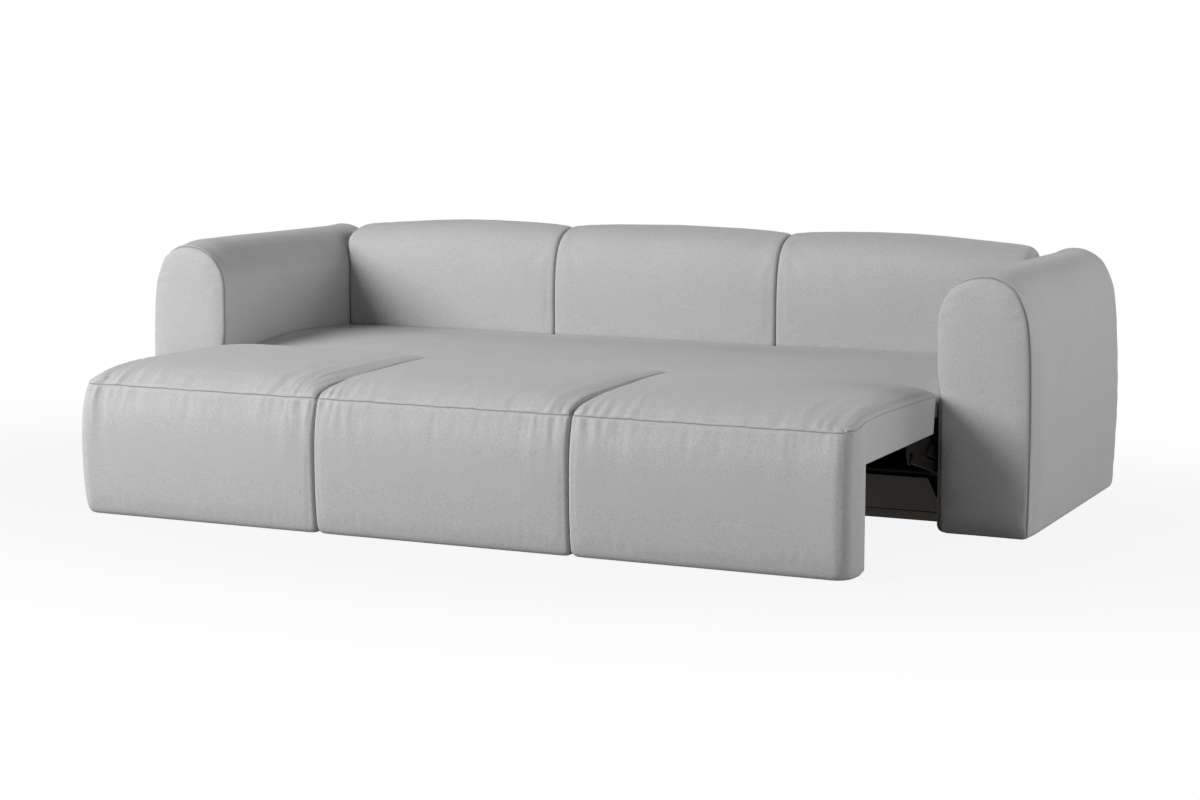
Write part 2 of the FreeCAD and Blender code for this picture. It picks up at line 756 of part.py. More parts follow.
def panel_bracket(y):
    h = panel_bracket_half
    low = panel_pivot_height - 15.0
    bracket = sheet_x([
        (y - h * 0.55, low), (y + h * 0.55, low), (y + h, panel_under + 2.0), (y + h, panel_frame_top),
        (y - h, panel_frame_top), (y - h, panel_under + 2.0),
    ], panel_bracket_inner, panel_bracket_outer)
    bracket = bracket.cut(rod(panel_bracket_inner, panel_bracket_outer, y, panel_pivot_height, hole))
    for spot in (-12.0, 12.0):
        bracket = bracket.cut(rod(panel_bracket_inner, panel_bracket_outer, y + spot,
                                  panel_screw_height, screw_hole))
    return bracket


def panel_link(y):
    return link_x((y, panel_axis_height), (y, panel_pivot_height), panel_link_inner, panel_link_outer,
                  panel_link_width, hole)


panel_pins = [rivet(panel_bracket_inner, panel_link_outer, y, panel_pivot_height)
              for y in panel_pivots.values()]
panel_washers = [ring(panel_bracket_outer, panel_link_inner, y, panel_pivot_height, washer_radius, hole)
                 for y in panel_pivots.values()]
panel_screw_end = panel_frame_half - panel_rail_width + 4.0
panel_screws = [rod(panel_bracket_outer, panel_bracket_outer + screw_head_thickness, y, z,
                    screw_head_radius)
                .fuse(rod(panel_screw_end, panel_bracket_outer, y, z, screw_radius))
                for y, z in panel_screw_spots]
cross_tube = ring(-panel_link_inner, panel_link_inner, panel_rear_axis, panel_axis_height,
                  cross_tube_radius, hole)


# Cushion modules from left to right, with the ends that lie beside an arm
edge_x = half - seat_side_gap
slit = module_gap / 2
modules = {
    "left": (-edge_x, -module / 2 - slit, True, False),
    "middle": (-module / 2 + slit, module / 2 - slit, False, False),
    "right": (module / 2 + slit, edge_x, False, True),
}


def between_arms(span, side_gap):
    """The same span with its ends beside the arms moved to another gap."""
    x0, x1, left_end, right_end = span
    x0 = -half + side_gap if left_end else x0
    x1 = half - side_gap if right_end else x1
    return x0, x1, left_end, right_end


save("right_arm_padding", [arm_padding()])
save("left_arm_padding", [mirrored(arm_padding())])
save("right_arm_frame", arm_frame())
save("left_arm_frame", [mirrored(board) for board in arm_frame()])
save("arm_glides", arm_glides)
save("arm_bolts", both(arm_bolts + back_bolts))
save("back_frame", back_frame())
board_bottom = back_cushion_bottom + 5.0
save("back_board", [box(-half + 4.0, half - 4.0, back_board_front, back_frame_front, board_bottom,
                        back_frame_top)])
save("rear_cover_pad", [rear_pad()])
for side, span in modules.items():
    save(side + "_back_cushion", [back_cushion(*between_arms(span, soft_gap))])
    save(side + "_seat_cushion", [seat_cushion(*span)])
    save(side + "_front_pad", [front_pad(*span)])
save("base_front_panel", [base_front_panel()])
save("base_plinth_strip", [box(-front_panel_half, front_panel_half, base_front,
                               base_front + front_panel_thickness, plinth_bottom, plinth_top)])
save("base_side_rails", both([base_side_rail(), packing_strip()]))
save("base_cross_rails", cross_rails)
save("base_floor_board", [floor_board])
save("base_glides", base_glides)
save("right_side_plate", [side_plate()])
save("left_side_plate", [mirrored(side_plate())])
save("side_plate_screws", both(plate_screws))
save("swing_pivot_pins", both(swing_pins))
save("swing_pivot_washers", both(swing_washers))
save("panel_link_studs", both(panel_studs))
save("link_stop_buffers", both(buffers))
save("seat_frame", seat_frame())
save("seat_deck", [box(-bracket_inner, bracket_inner, frame_front, frame_rear, frame_top, deck_top)])
save("seat_dust_cover", [seat_dust_cover])
save("right_seat_bracket", [seat_bracket()])
save("left_seat_bracket", [mirrored(seat_bracket())])
save("seat_bracket_screws", both(seat_screws))
save("seat_pivot_pins", both(seat_pins))
save("seat_pivot_washers", both(seat_washers))
save("apron_board", [apron_board()])
save("apron_brackets", [apron_bracket(x) for x in apron_bracket_spots])
save("apron_screws", [part for x in apron_bracket_spots for part in apron_screw_pair(x)])
save("apron_glides", apron_glides)
for name in ("front", "rear"):
    save("right_" + name + "_swing_link", [swing_link(name)])
    save("left_" + name + "_swing_link", [mirrored(swing_link(name))])
save("swing_torsion_tube", [torsion_tube])
save("panel_frame", panel_frame())
save("panel_deck", [box(-panel_frame_half, panel_frame_half, panel_front + 10.0, panel_rear - 10.0,
                        panel_frame_top, panel_deck_top)])
save("panel_pad", [panel_pad()])
save("panel_brackets", both([panel_bracket(y) for y in panel_pivots.values()]))
save("panel_bracket_screws", both(panel_screws))
save("panel_pivot_pins", both(panel_pins))
save("panel_pivot_washers", both(panel_washers))
save("panel_front_links", both([panel_link(panel_front_axis)]))
save("panel_rear_links", both([panel_link(panel_rear_axis)]))
save("panel_cross_tube", [cross_tube])

print("depth shift", depth_shift)
print("swing axes y", front_axis + depth_shift, rear_axis + depth_shift, "z", swing_axis_height)
print("seat pivots y", [y + depth_shift for y, z in seat_pivots.values()], "z", seat_pivot_height)
print("panel axes y", panel_front_axis + depth_shift, panel_rear_axis + depth_shift)
print("closed panel", panel_rear + panel_link_length, "back frame", back_frame_front)
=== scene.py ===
import bpy
import json
import math
import numpy as np
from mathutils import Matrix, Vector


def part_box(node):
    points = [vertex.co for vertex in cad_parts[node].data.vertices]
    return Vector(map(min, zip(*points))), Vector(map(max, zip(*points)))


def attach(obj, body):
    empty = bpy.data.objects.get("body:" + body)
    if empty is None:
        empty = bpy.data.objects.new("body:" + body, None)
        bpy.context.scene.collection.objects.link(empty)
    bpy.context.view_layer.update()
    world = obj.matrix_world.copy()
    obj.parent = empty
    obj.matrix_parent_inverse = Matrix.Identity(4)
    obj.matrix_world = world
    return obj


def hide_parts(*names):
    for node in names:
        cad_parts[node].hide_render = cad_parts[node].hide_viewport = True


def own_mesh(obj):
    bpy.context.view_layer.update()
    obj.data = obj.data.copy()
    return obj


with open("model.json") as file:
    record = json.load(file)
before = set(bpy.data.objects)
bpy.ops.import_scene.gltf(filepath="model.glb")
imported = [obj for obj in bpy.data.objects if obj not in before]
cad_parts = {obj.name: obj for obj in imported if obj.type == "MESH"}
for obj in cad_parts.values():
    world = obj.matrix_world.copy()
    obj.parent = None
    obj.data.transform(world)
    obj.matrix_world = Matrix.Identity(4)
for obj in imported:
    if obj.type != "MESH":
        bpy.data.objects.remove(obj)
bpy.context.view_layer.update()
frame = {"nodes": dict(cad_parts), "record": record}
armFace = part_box("right_arm_padding")[0].y          # plane of the arms' fronts, the zero of every depth below


# shader sums written as sums
class Wire:
    def __init__(self, paint, out):
        self.paint, self.out = paint, out

    def sum(self, operation, other, flip=False):
        first, second = (other, self) if flip else (self, other)
        many = any(isinstance(p, Wire) and p.out.type in ("VECTOR", "RGBA") for p in (first, second))
        kind = "ShaderNodeVectorMath" if many else "ShaderNodeMath"
        values = {0: self.fit(first, many), 1: self.fit(second, many)}
        return self.paint.add(kind, {"operation": operation}, values)

    def fit(self, value, many):                      # a number beside a colour stands for all its channels
        return (value,) * 3 if many and isinstance(value, (int, float)) else value

    def __add__(self, other):
        return self.sum("ADD", other)

    def __radd__(self, other):
        return self.sum("ADD", other, True)

    def __sub__(self, other):
        return self.sum("SUBTRACT", other)

    def __rsub__(self, other):
        return self.sum("SUBTRACT", other, True)

    def __mul__(self, other):
        return self.sum("MULTIPLY", other)

    def __rmul__(self, other):
        return self.sum("MULTIPLY", other, True)

    def step(self, low, high):                       # 0 below low, 1 above high, soft between
        settings = {"interpolation_type": "SMOOTHSTEP"}
        return self.paint.add("ShaderNodeMapRange", settings, {0: self, 1: low, 2: high, 3: 0.0, 4: 1.0})


class Paint:
    def __init__(self, owner):                       # the name of a new material, or a world
        self.owner = bpy.data.materials.new(owner) if isinstance(owner, str) else owner
        self.owner.use_nodes = True
        self.tree = self.owner.node_tree
        self.tree.nodes.clear()

    def add(self, kind, settings=None, values=None, out=0):
        node = self.tree.nodes.new(kind)
        for key, value in (settings or {}).items():
            setattr(node, key, value)
        for key, value in (values or {}).items():
            socket = node.inputs[key]
            if isinstance(value, Wire):
                self.tree.links.new(value.out, socket)
            elif isinstance(value, tuple) and socket.type == "RGBA":
                socket.default_value = (*value[:3], 1.0)
            else:
                socket.default_value = value
        return Wire(self, node.outputs[out] if node.outputs else None)

    def place(self, stretch=(1.0, 1.0, 1.0)):        # the piece's own coordinates, in metres
        spot = self.add("ShaderNodeTexCoord", out="Object")
        return self.add("ShaderNodeMapping", {}, {"Vector": spot, "Scale": stretch})

    def noise(self, spot, scale, detail=2.0, rough=0.5, bend=0.0):
        return self.add("ShaderNodeTexNoise", {}, {"Vector": spot, "Scale": scale, "Detail": detail,
                                                   "Roughness": rough, "Distortion": bend})

    def blend(self, share, a, b, kind="MIX"):
        return self.add("ShaderNodeMix", {"data_type": "RGBA", "blend_type": kind}, {0: share, 6: a, 7: b}, 2)

    def shade(self, colour, darker):                 # multiplies a colour by a number that varies
        grey = self.add("ShaderNodeCombineColor", {}, {0: darker, 1: darker, 2: darker})
        return self.blend(1.0, colour, grey, "MULTIPLY")

    def bump(self, height, depth, strength, below=None):
        values = {"Height": height, "Distance": depth, "Strength": strength}
        if below:
            values["Normal"] = below
        return self.add("ShaderNodeBump", {}, values)

    def close(self, **sockets):
        values = {key.replace("_", " "): value for key, value in sockets.items()}
        shader = self.add("ShaderNodeBsdfPrincipled", {}, values)
        return self.finish(shader)

    def finish(self, shader, end="ShaderNodeOutputMaterial"):
        self.add(end, {}, {"Surface": shader})
        return self.owner


# finishes
fabricLook = {"light": (0.565, 0.565, 0.566), "dark": (0.400, 0.400, 0.403), "fleck": 0.0032, "yarn": 0.0008,
              "weaveDepth": 0.0004, "fleckDepth": 0.0003, "seamDepth": 0.0012, "seamWidth": 0.0010,
              "seamPaintedShade": 0.40}


def upholstery():
    p = Paint("greyUpholstery")
    spot = p.place()
    melange = p.noise(spot, 1 / fabricLook["fleck"], 3.0, 0.7).step(0.34, 0.60)
    clouds = p.noise(spot, 7.0, 2.0)
    yarn = p.noise(spot, 1 / fabricLook["yarn"], 2.0, 0.7, 0.6)
    across = p.noise(p.place((1.0, 0.35, 1.0)), 520.0, 2.0, 0.6)
    share = 0.22 + 0.62 * melange + 0.16 * yarn
    colour = p.blend(share, fabricLook["dark"], fabricLook["light"])
    colour = p.shade(colour, 0.965 + 0.07 * clouds)
    seam = p.add("ShaderNodeAttribute", {"attribute_name": "seam"}, out="Fac")
    line = 1.0 - seam.step(fabricLook["seamWidth"] * 0.4, fabricLook["seamWidth"] * 2.2)
    # painted shade: the colour is darkened along the seams, standing in for the shadow in the sewn groove
    colour = p.shade(colour, 1.0 - fabricLook["seamPaintedShade"] * line)
    weave = p.bump(yarn * 0.6 + across * 0.4, fabricLook["weaveDepth"], 0.55)
    normal = p.bump(melange, fabricLook["fleckDepth"], 0.5, weave)
    normal = p.bump(1.0 - line, fabricLook["seamDepth"], 0.8, normal)
    rough = 0.86 + 0.10 * yarn
    return p.close(Base_Color=colour, Roughness=rough, Normal=normal, Sheen_Weight=0.18, Sheen_Roughness=0.45,
                   Specular_IOR_Level=0.25)


def laminate(name, base, pores):
    p = Paint(name)
    grain = p.noise(p.place((2.5, 40.0, 40.0)), 6.0, 5.0, 0.62, 0.8)
    fine = p.noise(p.place((6.0, 260.0, 260.0)), 5.0, 3.0, 0.6)
    colour = p.blend(grain.step(0.3, 0.7), tuple(c * 0.82 for c in base), tuple(c * 1.14 for c in base))
    colour = p.shade(colour, 0.90 + 0.2 * fine)
    normal = p.bump(fine.step(0.35, 0.6), pores, 0.4)
    return p.close(Base_Color=colour, Roughness=0.42 + 0.18 * grain, Normal=normal)


def timber():
    p = Paint("sawnPine")
    rings = p.add("ShaderNodeTexWave", {"wave_type": "RINGS", "rings_direction": "X"},
                  {"Vector": p.place((0.5, 3.0, 3.0)), "Scale": 14.0, "Distortion": 6.0, "Detail": 3.0})
    fibre = p.noise(p.place((4.0, 180.0, 180.0)), 4.0, 3.0, 0.6)
    colour = p.blend(rings, (0.47, 0.30, 0.15), (0.66, 0.47, 0.27))
    colour = p.shade(colour, 0.86 + 0.22 * fibre)
    return p.close(Base_Color=colour, Roughness=0.62 + 0.2 * fibre, Normal=p.bump(fibre, 0.0004, 0.5))


def plywood(ply):                                    # ply is the thickness of one layer
    p = Paint("birchPlywood")
    plies = p.add("ShaderNodeTexWave", {"bands_direction": "Z"},
                  {"Vector": p.place(), "Scale": 1 / ply / 6.283, "Distortion": 0.4, "Detail": 1.0})
    figure = p.noise(p.place((3.0, 22.0, 1.0)), 5.0, 4.0, 0.6, 1.0)
    colour = p.blend(figure.step(0.3, 0.7), (0.60, 0.45, 0.28), (0.72, 0.57, 0.39))
    colour = p.shade(colour, 0.90 + 0.12 * plies)
    return p.close(Base_Color=colour, Roughness=0.55 + 0.15 * figure, Normal=p.bump(figure, 0.0003, 0.4))


def chipboard(name, light, dark, chip):
    p = Paint(name)
    chips = p.add("ShaderNodeTexVoronoi", {"feature": "F1"},
                  {"Vector": p.place((1.0, 1.0, 2.2)), "Scale": 1 / chip})
    grain = p.noise(p.place(), 900.0, 2.0)
    colour = p.blend(chips.step(0.15, 0.75), light, dark)
    colour = p.shade(colour, 0.88 + 0.24 * grain)
    return p.close(Base_Color=colour, Roughness=0.74 + 0.14 * grain, Normal=p.bump(chips, 0.0004, 0.5))


def blackCloth():
    p = Paint("blackDustCloth")
    threads = p.add("ShaderNodeTexVoronoi", {"feature": "F1"}, {"Vector": p.place(), "Scale": 900.0})
    hang = p.noise(p.place(), 9.0, 3.0)
    colour = p.blend(threads.step(0.1, 0.7), (0.014, 0.014, 0.015), (0.030, 0.030, 0.032))
    colour = p.shade(colour, 0.8 + 0.4 * hang)
    return p.close(Base_Color=colour, Roughness=0.85 + 0.1 * hang, Normal=p.bump(threads, 0.0004, 0.6))


def paintedSteel():
    p = Paint("blackPowderCoat")
    peel = p.noise(p.place(), 1300.0, 2.0, 0.55)
    rub = p.noise(p.place(), 28.0, 4.0, 0.7).step(0.62, 0.80)
    colour = p.blend(rub * 0.5, (0.0065, 0.0056, 0.0046), (0.030, 0.026, 0.020))
    return p.close(Base_Color=colour, Roughness=0.46 + 0.22 * peel, Normal=p.bump(peel, 0.0002, 0.4),
                   Specular_IOR_Level=0.16)


def platedSteel():
    p = Paint("zincPlatedSteel")
    spangle = p.noise(p.place(), 160.0, 3.0, 0.6)
    scratch = p.noise(p.place((1.0, 30.0, 30.0)), 80.0, 2.0)
    colour = p.blend(spangle, (0.50, 0.51, 0.53), (0.66, 0.66, 0.67))
    return p.close(Base_Color=colour, Metallic=1.0, Roughness=0.30 + 0.22 * scratch,
                   Normal=p.bump(scratch, 0.0001, 0.4))


def moulded(name, colour, roughness):
    p = Paint(name)
    skin = p.noise(p.place(), 1500.0, 2.0, 0.6)
    dust = p.noise(p.place(), 40.0, 3.0)
    tone = p.blend(dust, tuple(c * 0.8 for c in colour), tuple(c * 1.3 for c in colour))
    return p.close(Base_Color=tone, Roughness=roughness + 0.12 * skin, Normal=p.bump(skin, 0.0002, 0.4))


finishes = {
    "upholstery_fabric": upholstery(),
    "arm_board": chipboard("armChipboard", (0.52, 0.38, 0.23), (0.36, 0.25, 0.14), 0.0045),
    "timber": timber(),
    "plywood": plywood(0.0028),
    "hardboard": chipboard("brownHardboard", (0.20, 0.125, 0.070), (0.15, 0.09, 0.05), 0.0016),
    "dark_brown_board": laminate("darkBrownLaminate", (0.060, 0.043, 0.030), 0.0003),
    "black_cloth": blackCloth(),
    "black_steel": paintedSteel(),
    "zinc_steel": platedSteel(),
    "black_rubber": moulded("blackRubber", (0.020, 0.020, 0.020), 0.70),
    "black_plastic": moulded("blackPlastic", (0.026, 0.026, 0.027), 0.42),
}
fabric = finishes["upholstery_fabric"]
print("finishes made:", len(finishes))


# mesh tools
def blockSkin(us, vs, ws):                           # the outside of a block of cells, as points and quads
    rows = [np.array(a, float) for a in (us, vs, ws)]
    grid = np.stack(np.meshgrid(*rows, indexing="ij"), -1).reshape(-1, 3)
    index = np.arange(len(grid)).reshape([len(r) for r in rows])
    quads = []
    for axis in range(3):
        for end in (0, -1):
            sheet = np.take(index, end, axis)
            ring = [sheet[:-1, :-1], sheet[1:, :-1], sheet[1:, 1:], sheet[:-1, 1:]]
            if (end == -1) == (axis == 1):
                ring.reverse()
            quads.append(np.stack(ring, -1).reshape(-1, 4))
    quads = np.concatenate(quads)
    used, place = np.unique(quads, return_inverse=True)
    return grid[used], place.reshape(quads.shape)


def soften(x, low, high):
    t = np.clip((x - low) / (high - low), 0.0, 1.0)
    return t * t * (3 - 2 * t)


def mirrored(steps, half):                           # steps in from both ends of a width, and its middle
    return sorted([v - half for v in steps] + [half - v for v in steps] + [0.0])


def quarter(x):                                      # 1 at 0, falls along a quarter circle to 0 at 1
    x = np.clip(x, 0.0, 1.0)
    return 1 - np.sqrt(np.clip(1 - (1 - x) ** 2, 0.0, 1.0))


def lineThrough(points, shares):                     # a smooth line, read at shares of its length
    p = np.array(points, float)
    q = np.vstack([2 * p[0] - p[1], p, 2 * p[-1] - p[-2]])
    t = np.linspace(0, 1, 14, endpoint=False)[:, None]
    runs = []
    for a, b, c, d in zip(q, q[1:], q[2:], q[3:]):
        square, cube = 2 * a - 5 * b + 4 * c - d, 3 * b - a - 3 * c + d
        runs.append(0.5 * (2 * b + (c - a) * t + square * t ** 2 + cube * t ** 3))
    dense = np.vstack(runs + [p[-1:]])
    way = np.concatenate([[0], np.cumsum(np.linalg.norm(np.diff(dense, axis=0), axis=1))])
    at = np.clip(shares, 0, 1) * way[-1]
    return np.stack([np.interp(at, way, dense[:, k]) for k in range(p.shape[1])], -1)


def spread(start, end, gap):                         # evenly spaced values without the last one
    count = max(1, round(abs(end - start) / gap))
    return list(np.linspace(start, end, count, endpoint=False))


def cornerRound(x, t, half, r):                      # rounds the edge between a side at half and a skin at 0
    dx = np.clip(np.abs(x) - (half - r), 0, None)
    dt = np.clip(r - t, 0, None)
    ratio = np.maximum(dx, dt) / np.maximum(np.hypot(dx, dt), 1e-9)
    ratio = np.where((dx > 0) & (dt > 0), ratio, 1.0)
    return np.sign(x) * (np.abs(x) + dx * (ratio - 1)), t - dt * (ratio - 1)


def boxRound(dx, dy, dz):                            # how much of a square corner a round one keeps
    size = np.sqrt(dx ** 2 + dy ** 2 + dz ** 2)
    return np.where(size > 1e-9, np.maximum(np.maximum(dx, dy), dz) / np.maximum(size, 1e-9), 1.0)


def bring(name, points, quads, marks=None):
    a, b, c, d = (points[quads[:, k]] for k in range(4))
    volume = np.einsum("ij,ij->i", a, np.cross(b, c)).sum() + np.einsum("ij,ij->i", a, np.cross(c, d)).sum()
    if volume < 0:
        quads = quads[:, ::-1]
    mesh = bpy.data.meshes.new(name)
    mesh.from_pydata(points.tolist(), [], quads.tolist())
    for key, values in (marks or {}).items():
        mesh.attributes.new(key, "FLOAT", "POINT").data.foreach_set("value", np.asarray(values, np.float32))
    piece = bpy.data.objects.new(name, mesh)
    bpy.context.scene.collection.objects.link(piece)
    return piece


def readPoints(piece, key="co"):
    data = np.zeros(len(piece.data.vertices) * 3)
    piece.data.vertices.foreach_get(key, data)
    return data.reshape(-1, 3)


def readMark(piece, key):
    data = np.zeros(len(piece.data.vertices), np.float32)
    piece.data.attributes[key].data.foreach_get("value", data)
    return data.astype(float)


markKeys = ("s", "t", "x")                           # where each point lay on its block, kept for the sewing


def readMarks(piece):
    return [readMark(piece, key) for key in markKeys]


def writeMark(piece, key, values):
    mark = piece.data.attributes.get(key) or piece.data.attributes.new(key, "FLOAT", "POINT")
    mark.data.foreach_set("value", np.asarray(values, np.float32))


def movePoints(piece, points):
    piece.data.vertices.foreach_set("co", points.astype(np.float32).ravel())
    piece.data.update()


def pushOut(piece, amount):                          # along the normals, in metres
    movePoints(piece, readPoints(piece) + readPoints(piece, "normal") * amount[:, None])


def subdivide(piece):
    modifier = piece.modifiers.new("smooth", "SUBSURF")
    modifier.levels = modifier.render_levels = 1
    modifier.boundary_smooth = "PRESERVE_CORNERS"
    depsgraph = bpy.context.evaluated_depsgraph_get()
    mesh = bpy.data.meshes.new_from_object(piece.evaluated_get(depsgraph))
    piece.modifiers.clear()
    piece.data = mesh
    mesh.name = piece.name


# cloth simulation of the padded skins
swellLook = {"frames": 14, "pressure": 4.0, "slack": 0.005, "drawn": 0.0018, "cap": 0.0021}


def inflate(piece, loose):                           # loose is 0 where the skin is held, 1 where it is free
    a = swellLook
    pushOut(piece, -a["drawn"] * loose)              # starts slightly smaller, because it swells
    held = piece.vertex_groups.new(name="held")
    level = np.round(10 * (1 - loose)).astype(int)
    for tenth in range(1, 11):
        held.add(np.flatnonzero(level == tenth).tolist(), tenth / 10, "REPLACE")
    cloth = piece.modifiers.new("swell", "CLOTH")
    cloth.settings.vertex_group_mass = "held"
    cloth.settings.use_pressure = True
    cloth.settings.uniform_pressure_force = a["pressure"]
    cloth.settings.shrink_min = -a["slack"]
    cloth.settings.effector_weights.gravity = 0.0
    for number in range(1, a["frames"] + 1):
        bpy.context.scene.frame_set(number)
    bpy.context.view_layer.update()
    shaped = bpy.data.meshes.new_from_object(piece.evaluated_get(bpy.context.evaluated_depsgraph_get()))
    points = np.zeros(len(shaped.vertices) * 3)
    shaped.vertices.foreach_get("co", points)
    bpy.data.meshes.remove(shaped)
    start = readPoints(piece)
    moved = points.reshape(-1, 3) - start
    length = np.linalg.norm(moved, axis=1)
    share = np.minimum(1.0, a["cap"] / np.maximum(length, 1e-9))
    piece.modifiers.clear()
    piece.vertex_groups.clear()
    movePoints(piece, start + moved * share[:, None])
    bpy.context.scene.frame_set(1)
    print(piece.name, "swollen,", round(1000 * float(np.median(length[loose > 0.5])), 1), "mm before the cap")


def dress(piece, body, stands):                # last steps that every padded piece shares
    piece.data.shade_smooth()
    piece.data.materials.clear()
    piece.data.materials.append(fabric)
    for key in markKeys:
        if piece.data.attributes.get(key):
            piece.data.attributes.remove(piece.data.attributes[key])
    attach(piece, body)
    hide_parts(*stands)
    print(piece.name, len(piece.data.polygons), "faces")


# camera, floor and light
view = {"place": (3.174, -6.676, 1.314), "down": 7.91, "turn": 24.85, "lens": 76.26,
        "skyLevel": 0.062, "aim": (0.0, -0.2, 0.35), "floorHalf": 14,
        "lamps": {"key": ((-5.4, -5.8, 4.6), 4.5, 865.0), "side": ((4.5, -0.9, 1.0), 1.8, 29.0),
                  "front": ((5.0, -3.0, 1.2), 2.2, 18.0), "rear": ((4.6, 4.4, 3.0), 3.4, 168.0)}}


def setStage():
    scene = bpy.context.scene
    scene.view_settings.view_transform = "Standard"
    lens = bpy.data.cameras.new("camera")
    lens.lens, lens.sensor_width = view["lens"], 36.0
    camera = bpy.data.objects.new("camera", lens)
    camera.location = view["place"]
    camera.rotation_euler = (math.radians(90 - view["down"]), 0, math.radians(view["turn"]))
    scene.collection.objects.link(camera)
    scene.camera = camera

    p = Paint(bpy.data.worlds.new("studio"))         # white where it is seen, faint light everywhere else
    path = p.add("ShaderNodeLightPath", out="Is Camera Ray")
    through = Wire(p, path.out.node.outputs["Is Transmission Ray"])
    seen = p.add("ShaderNodeMath", {"operation": "MAXIMUM"}, {0: path, 1: through})
    sky = p.add("ShaderNodeBackground", {}, {"Color": (1.0, 1.0, 1.0), "Strength": view["skyLevel"]})
    white = p.add("ShaderNodeBackground", {}, {"Color": (1.0, 1.0, 1.0), "Strength": 1.0})
    both = p.add("ShaderNodeMixShader", {}, {0: seen, 1: sky, 2: white})
    scene.world = p.finish(both, "ShaderNodeOutputWorld")

    for name, (place, size, power) in view["lamps"].items():
        area = bpy.data.lights.new(name, "AREA")
        area.shape, area.size, area.energy = "DISK", size, power
        lamp = bpy.data.objects.new(name, area)
        lamp.location = place
        aim = np.array(view["aim"]) - np.array(place)
        down = math.acos(-aim[2] / np.linalg.norm(aim))
        lamp.rotation_euler = (down, 0, math.atan2(aim[1], aim[0]) - math.pi / 2)
        scene.collection.objects.link(lamp)

    p = Paint("paleFloor")
    path = p.add("ShaderNodeLightPath", out="Is Camera Ray")
    ways = path.out.node.outputs
    seen = path + Wire(p, ways["Is Glossy Ray"]) + Wire(p, ways["Is Transmission Ray"])
    speck = p.noise(p.place(), 60.0, 3.0)
    grey = p.blend(speck, (0.30, 0.30, 0.30), (0.32, 0.32, 0.32))
    matt = p.add("ShaderNodeBsdfDiffuse", {}, {"Color": grey})
    glow = p.add("ShaderNodeEmission", {}, {"Color": (1.0, 1.0, 1.0), "Strength": 1.0})
    away = p.add("ShaderNodeVectorMath", {"operation": "LENGTH"}, {0: p.place((0.6, 1.0, 1.0))}, 1)
    shown = p.add("ShaderNodeMixShader", {}, {0: 0.10 * (1.0 - away.step(0.9, 2.2)), 1: glow, 2: matt})
    both = p.add("ShaderNodeMixShader", {}, {0: seen, 1: matt, 2: shown})
    mesh = bpy.data.meshes.new("floor")
    far = view["floorHalf"]
    mesh.from_pydata([(-far, -far, 0), (far, -far, 0), (far, far, 0), (-far, far, 0)], [], [(0, 1, 2, 3)])
    mesh.materials.append(p.finish(both))
    floor = bpy.data.objects.new("floor", mesh)
    scene.collection.objects.link(floor)
    print("camera, floor and light set")


setStage()


# gathers: soft ridges that start at a seam and die away, most of them near its ends
def gatherField(seed, along, away, first, last, look):
    rng = np.random.default_rng(seed)
    total = np.zeros_like(along)
    endRun, endCount, midCount = look["endRun"], look["endCount"], look["midCount"]
    places = []
    for end, inward in ((first, 1), (last, -1)):
        shares = (np.arange(endCount) + rng.uniform(0.1, 0.9, endCount)) / endCount
        places += [end + inward * endRun * u ** 1.25 for u in shares]
    places += list(np.linspace(first + endRun, last - endRun, midCount) + rng.normal(0, 0.010, midCount))
    middle = (first + last) / 2
    for place in places:
        nearEnd = 1 - soften(min(place - first, last - place), 0.02, endRun * 1.3)
        width = look["width"] * rng.uniform(0.7, 1.4) * (1.35 - 0.5 * nearEnd)
        depth = look["depth"] * rng.uniform(0.45, 1.0) * (0.35 + 0.65 * nearEnd)
        depth = depth * (1 if rng.random() > 0.3 else -0.7)      # most stand up, some sink in
        reach = look["reach"] * rng.uniform(0.45, 1.25) * (0.75 + 0.4 * nearEnd)
        lean = rng.normal(0, 0.06) + look["lean"] * np.sign(middle - place) * nearEnd
        wave = rng.uniform(0, 6.28)
        shift = place + lean * away + 0.0016 * np.sin(away * 55 + wave)
        swell = width * (1 + 1.1 * away / reach)
        total += depth * np.exp(-((along - shift) / swell) ** 2) * np.exp(-(away / reach) ** 1.6)
    return total * (1 - np.exp(-(away / 0.0065) ** 2))


# seat modules: one padded inverted L each, boxed with a sewn edge
moduleLook = {
    "frontLong": 0.386, "topLong": 0.742, "thick": 0.125, "foot": 0.0010, "under": 0.2783, "padTall": 0.2773,
    "padBack": -0.5873, "seatRun": 0.5673, "rearUnder": -0.0200, "corner": 0.009, "topCorner": 0.007,
    "frontRun": 0.040, "topRun": 0.205, "planCorner": 0.034, "rearCorner": 0.010, "footInner": 0.017,
    "footOuter": 0.008, "sideBulge": 0.0155, "bulgeTall": 0.382, "keep": 0.980, "sideSeam": 0.009,
    "grooveDeep": 0.0008, "grooveWide": 0.0018, "padBeside": 0.0008,
    "footHeld": (-0.380, -0.300),                    # the skin is held up to the first, free from the second
    "joint": (-0.596, 0.262),                        # the boxing's two lengths meet here, above this height
    "below": {"endRun": 0.165, "endCount": 8, "midCount": 10, "width": 0.0080, "depth": 0.0042,
              "reach": 0.095, "lean": 0.02},
    "above": {"endRun": 0.170, "endCount": 6, "midCount": 8, "width": 0.0100, "depth": 0.0038,
              "reach": 0.100, "lean": 0.02},
    "long": {"endRun": 0.210, "endCount": 9, "midCount": 6, "width": 0.0082, "depth": 0.0037,
             "reach": 0.270, "lean": -0.03},
}
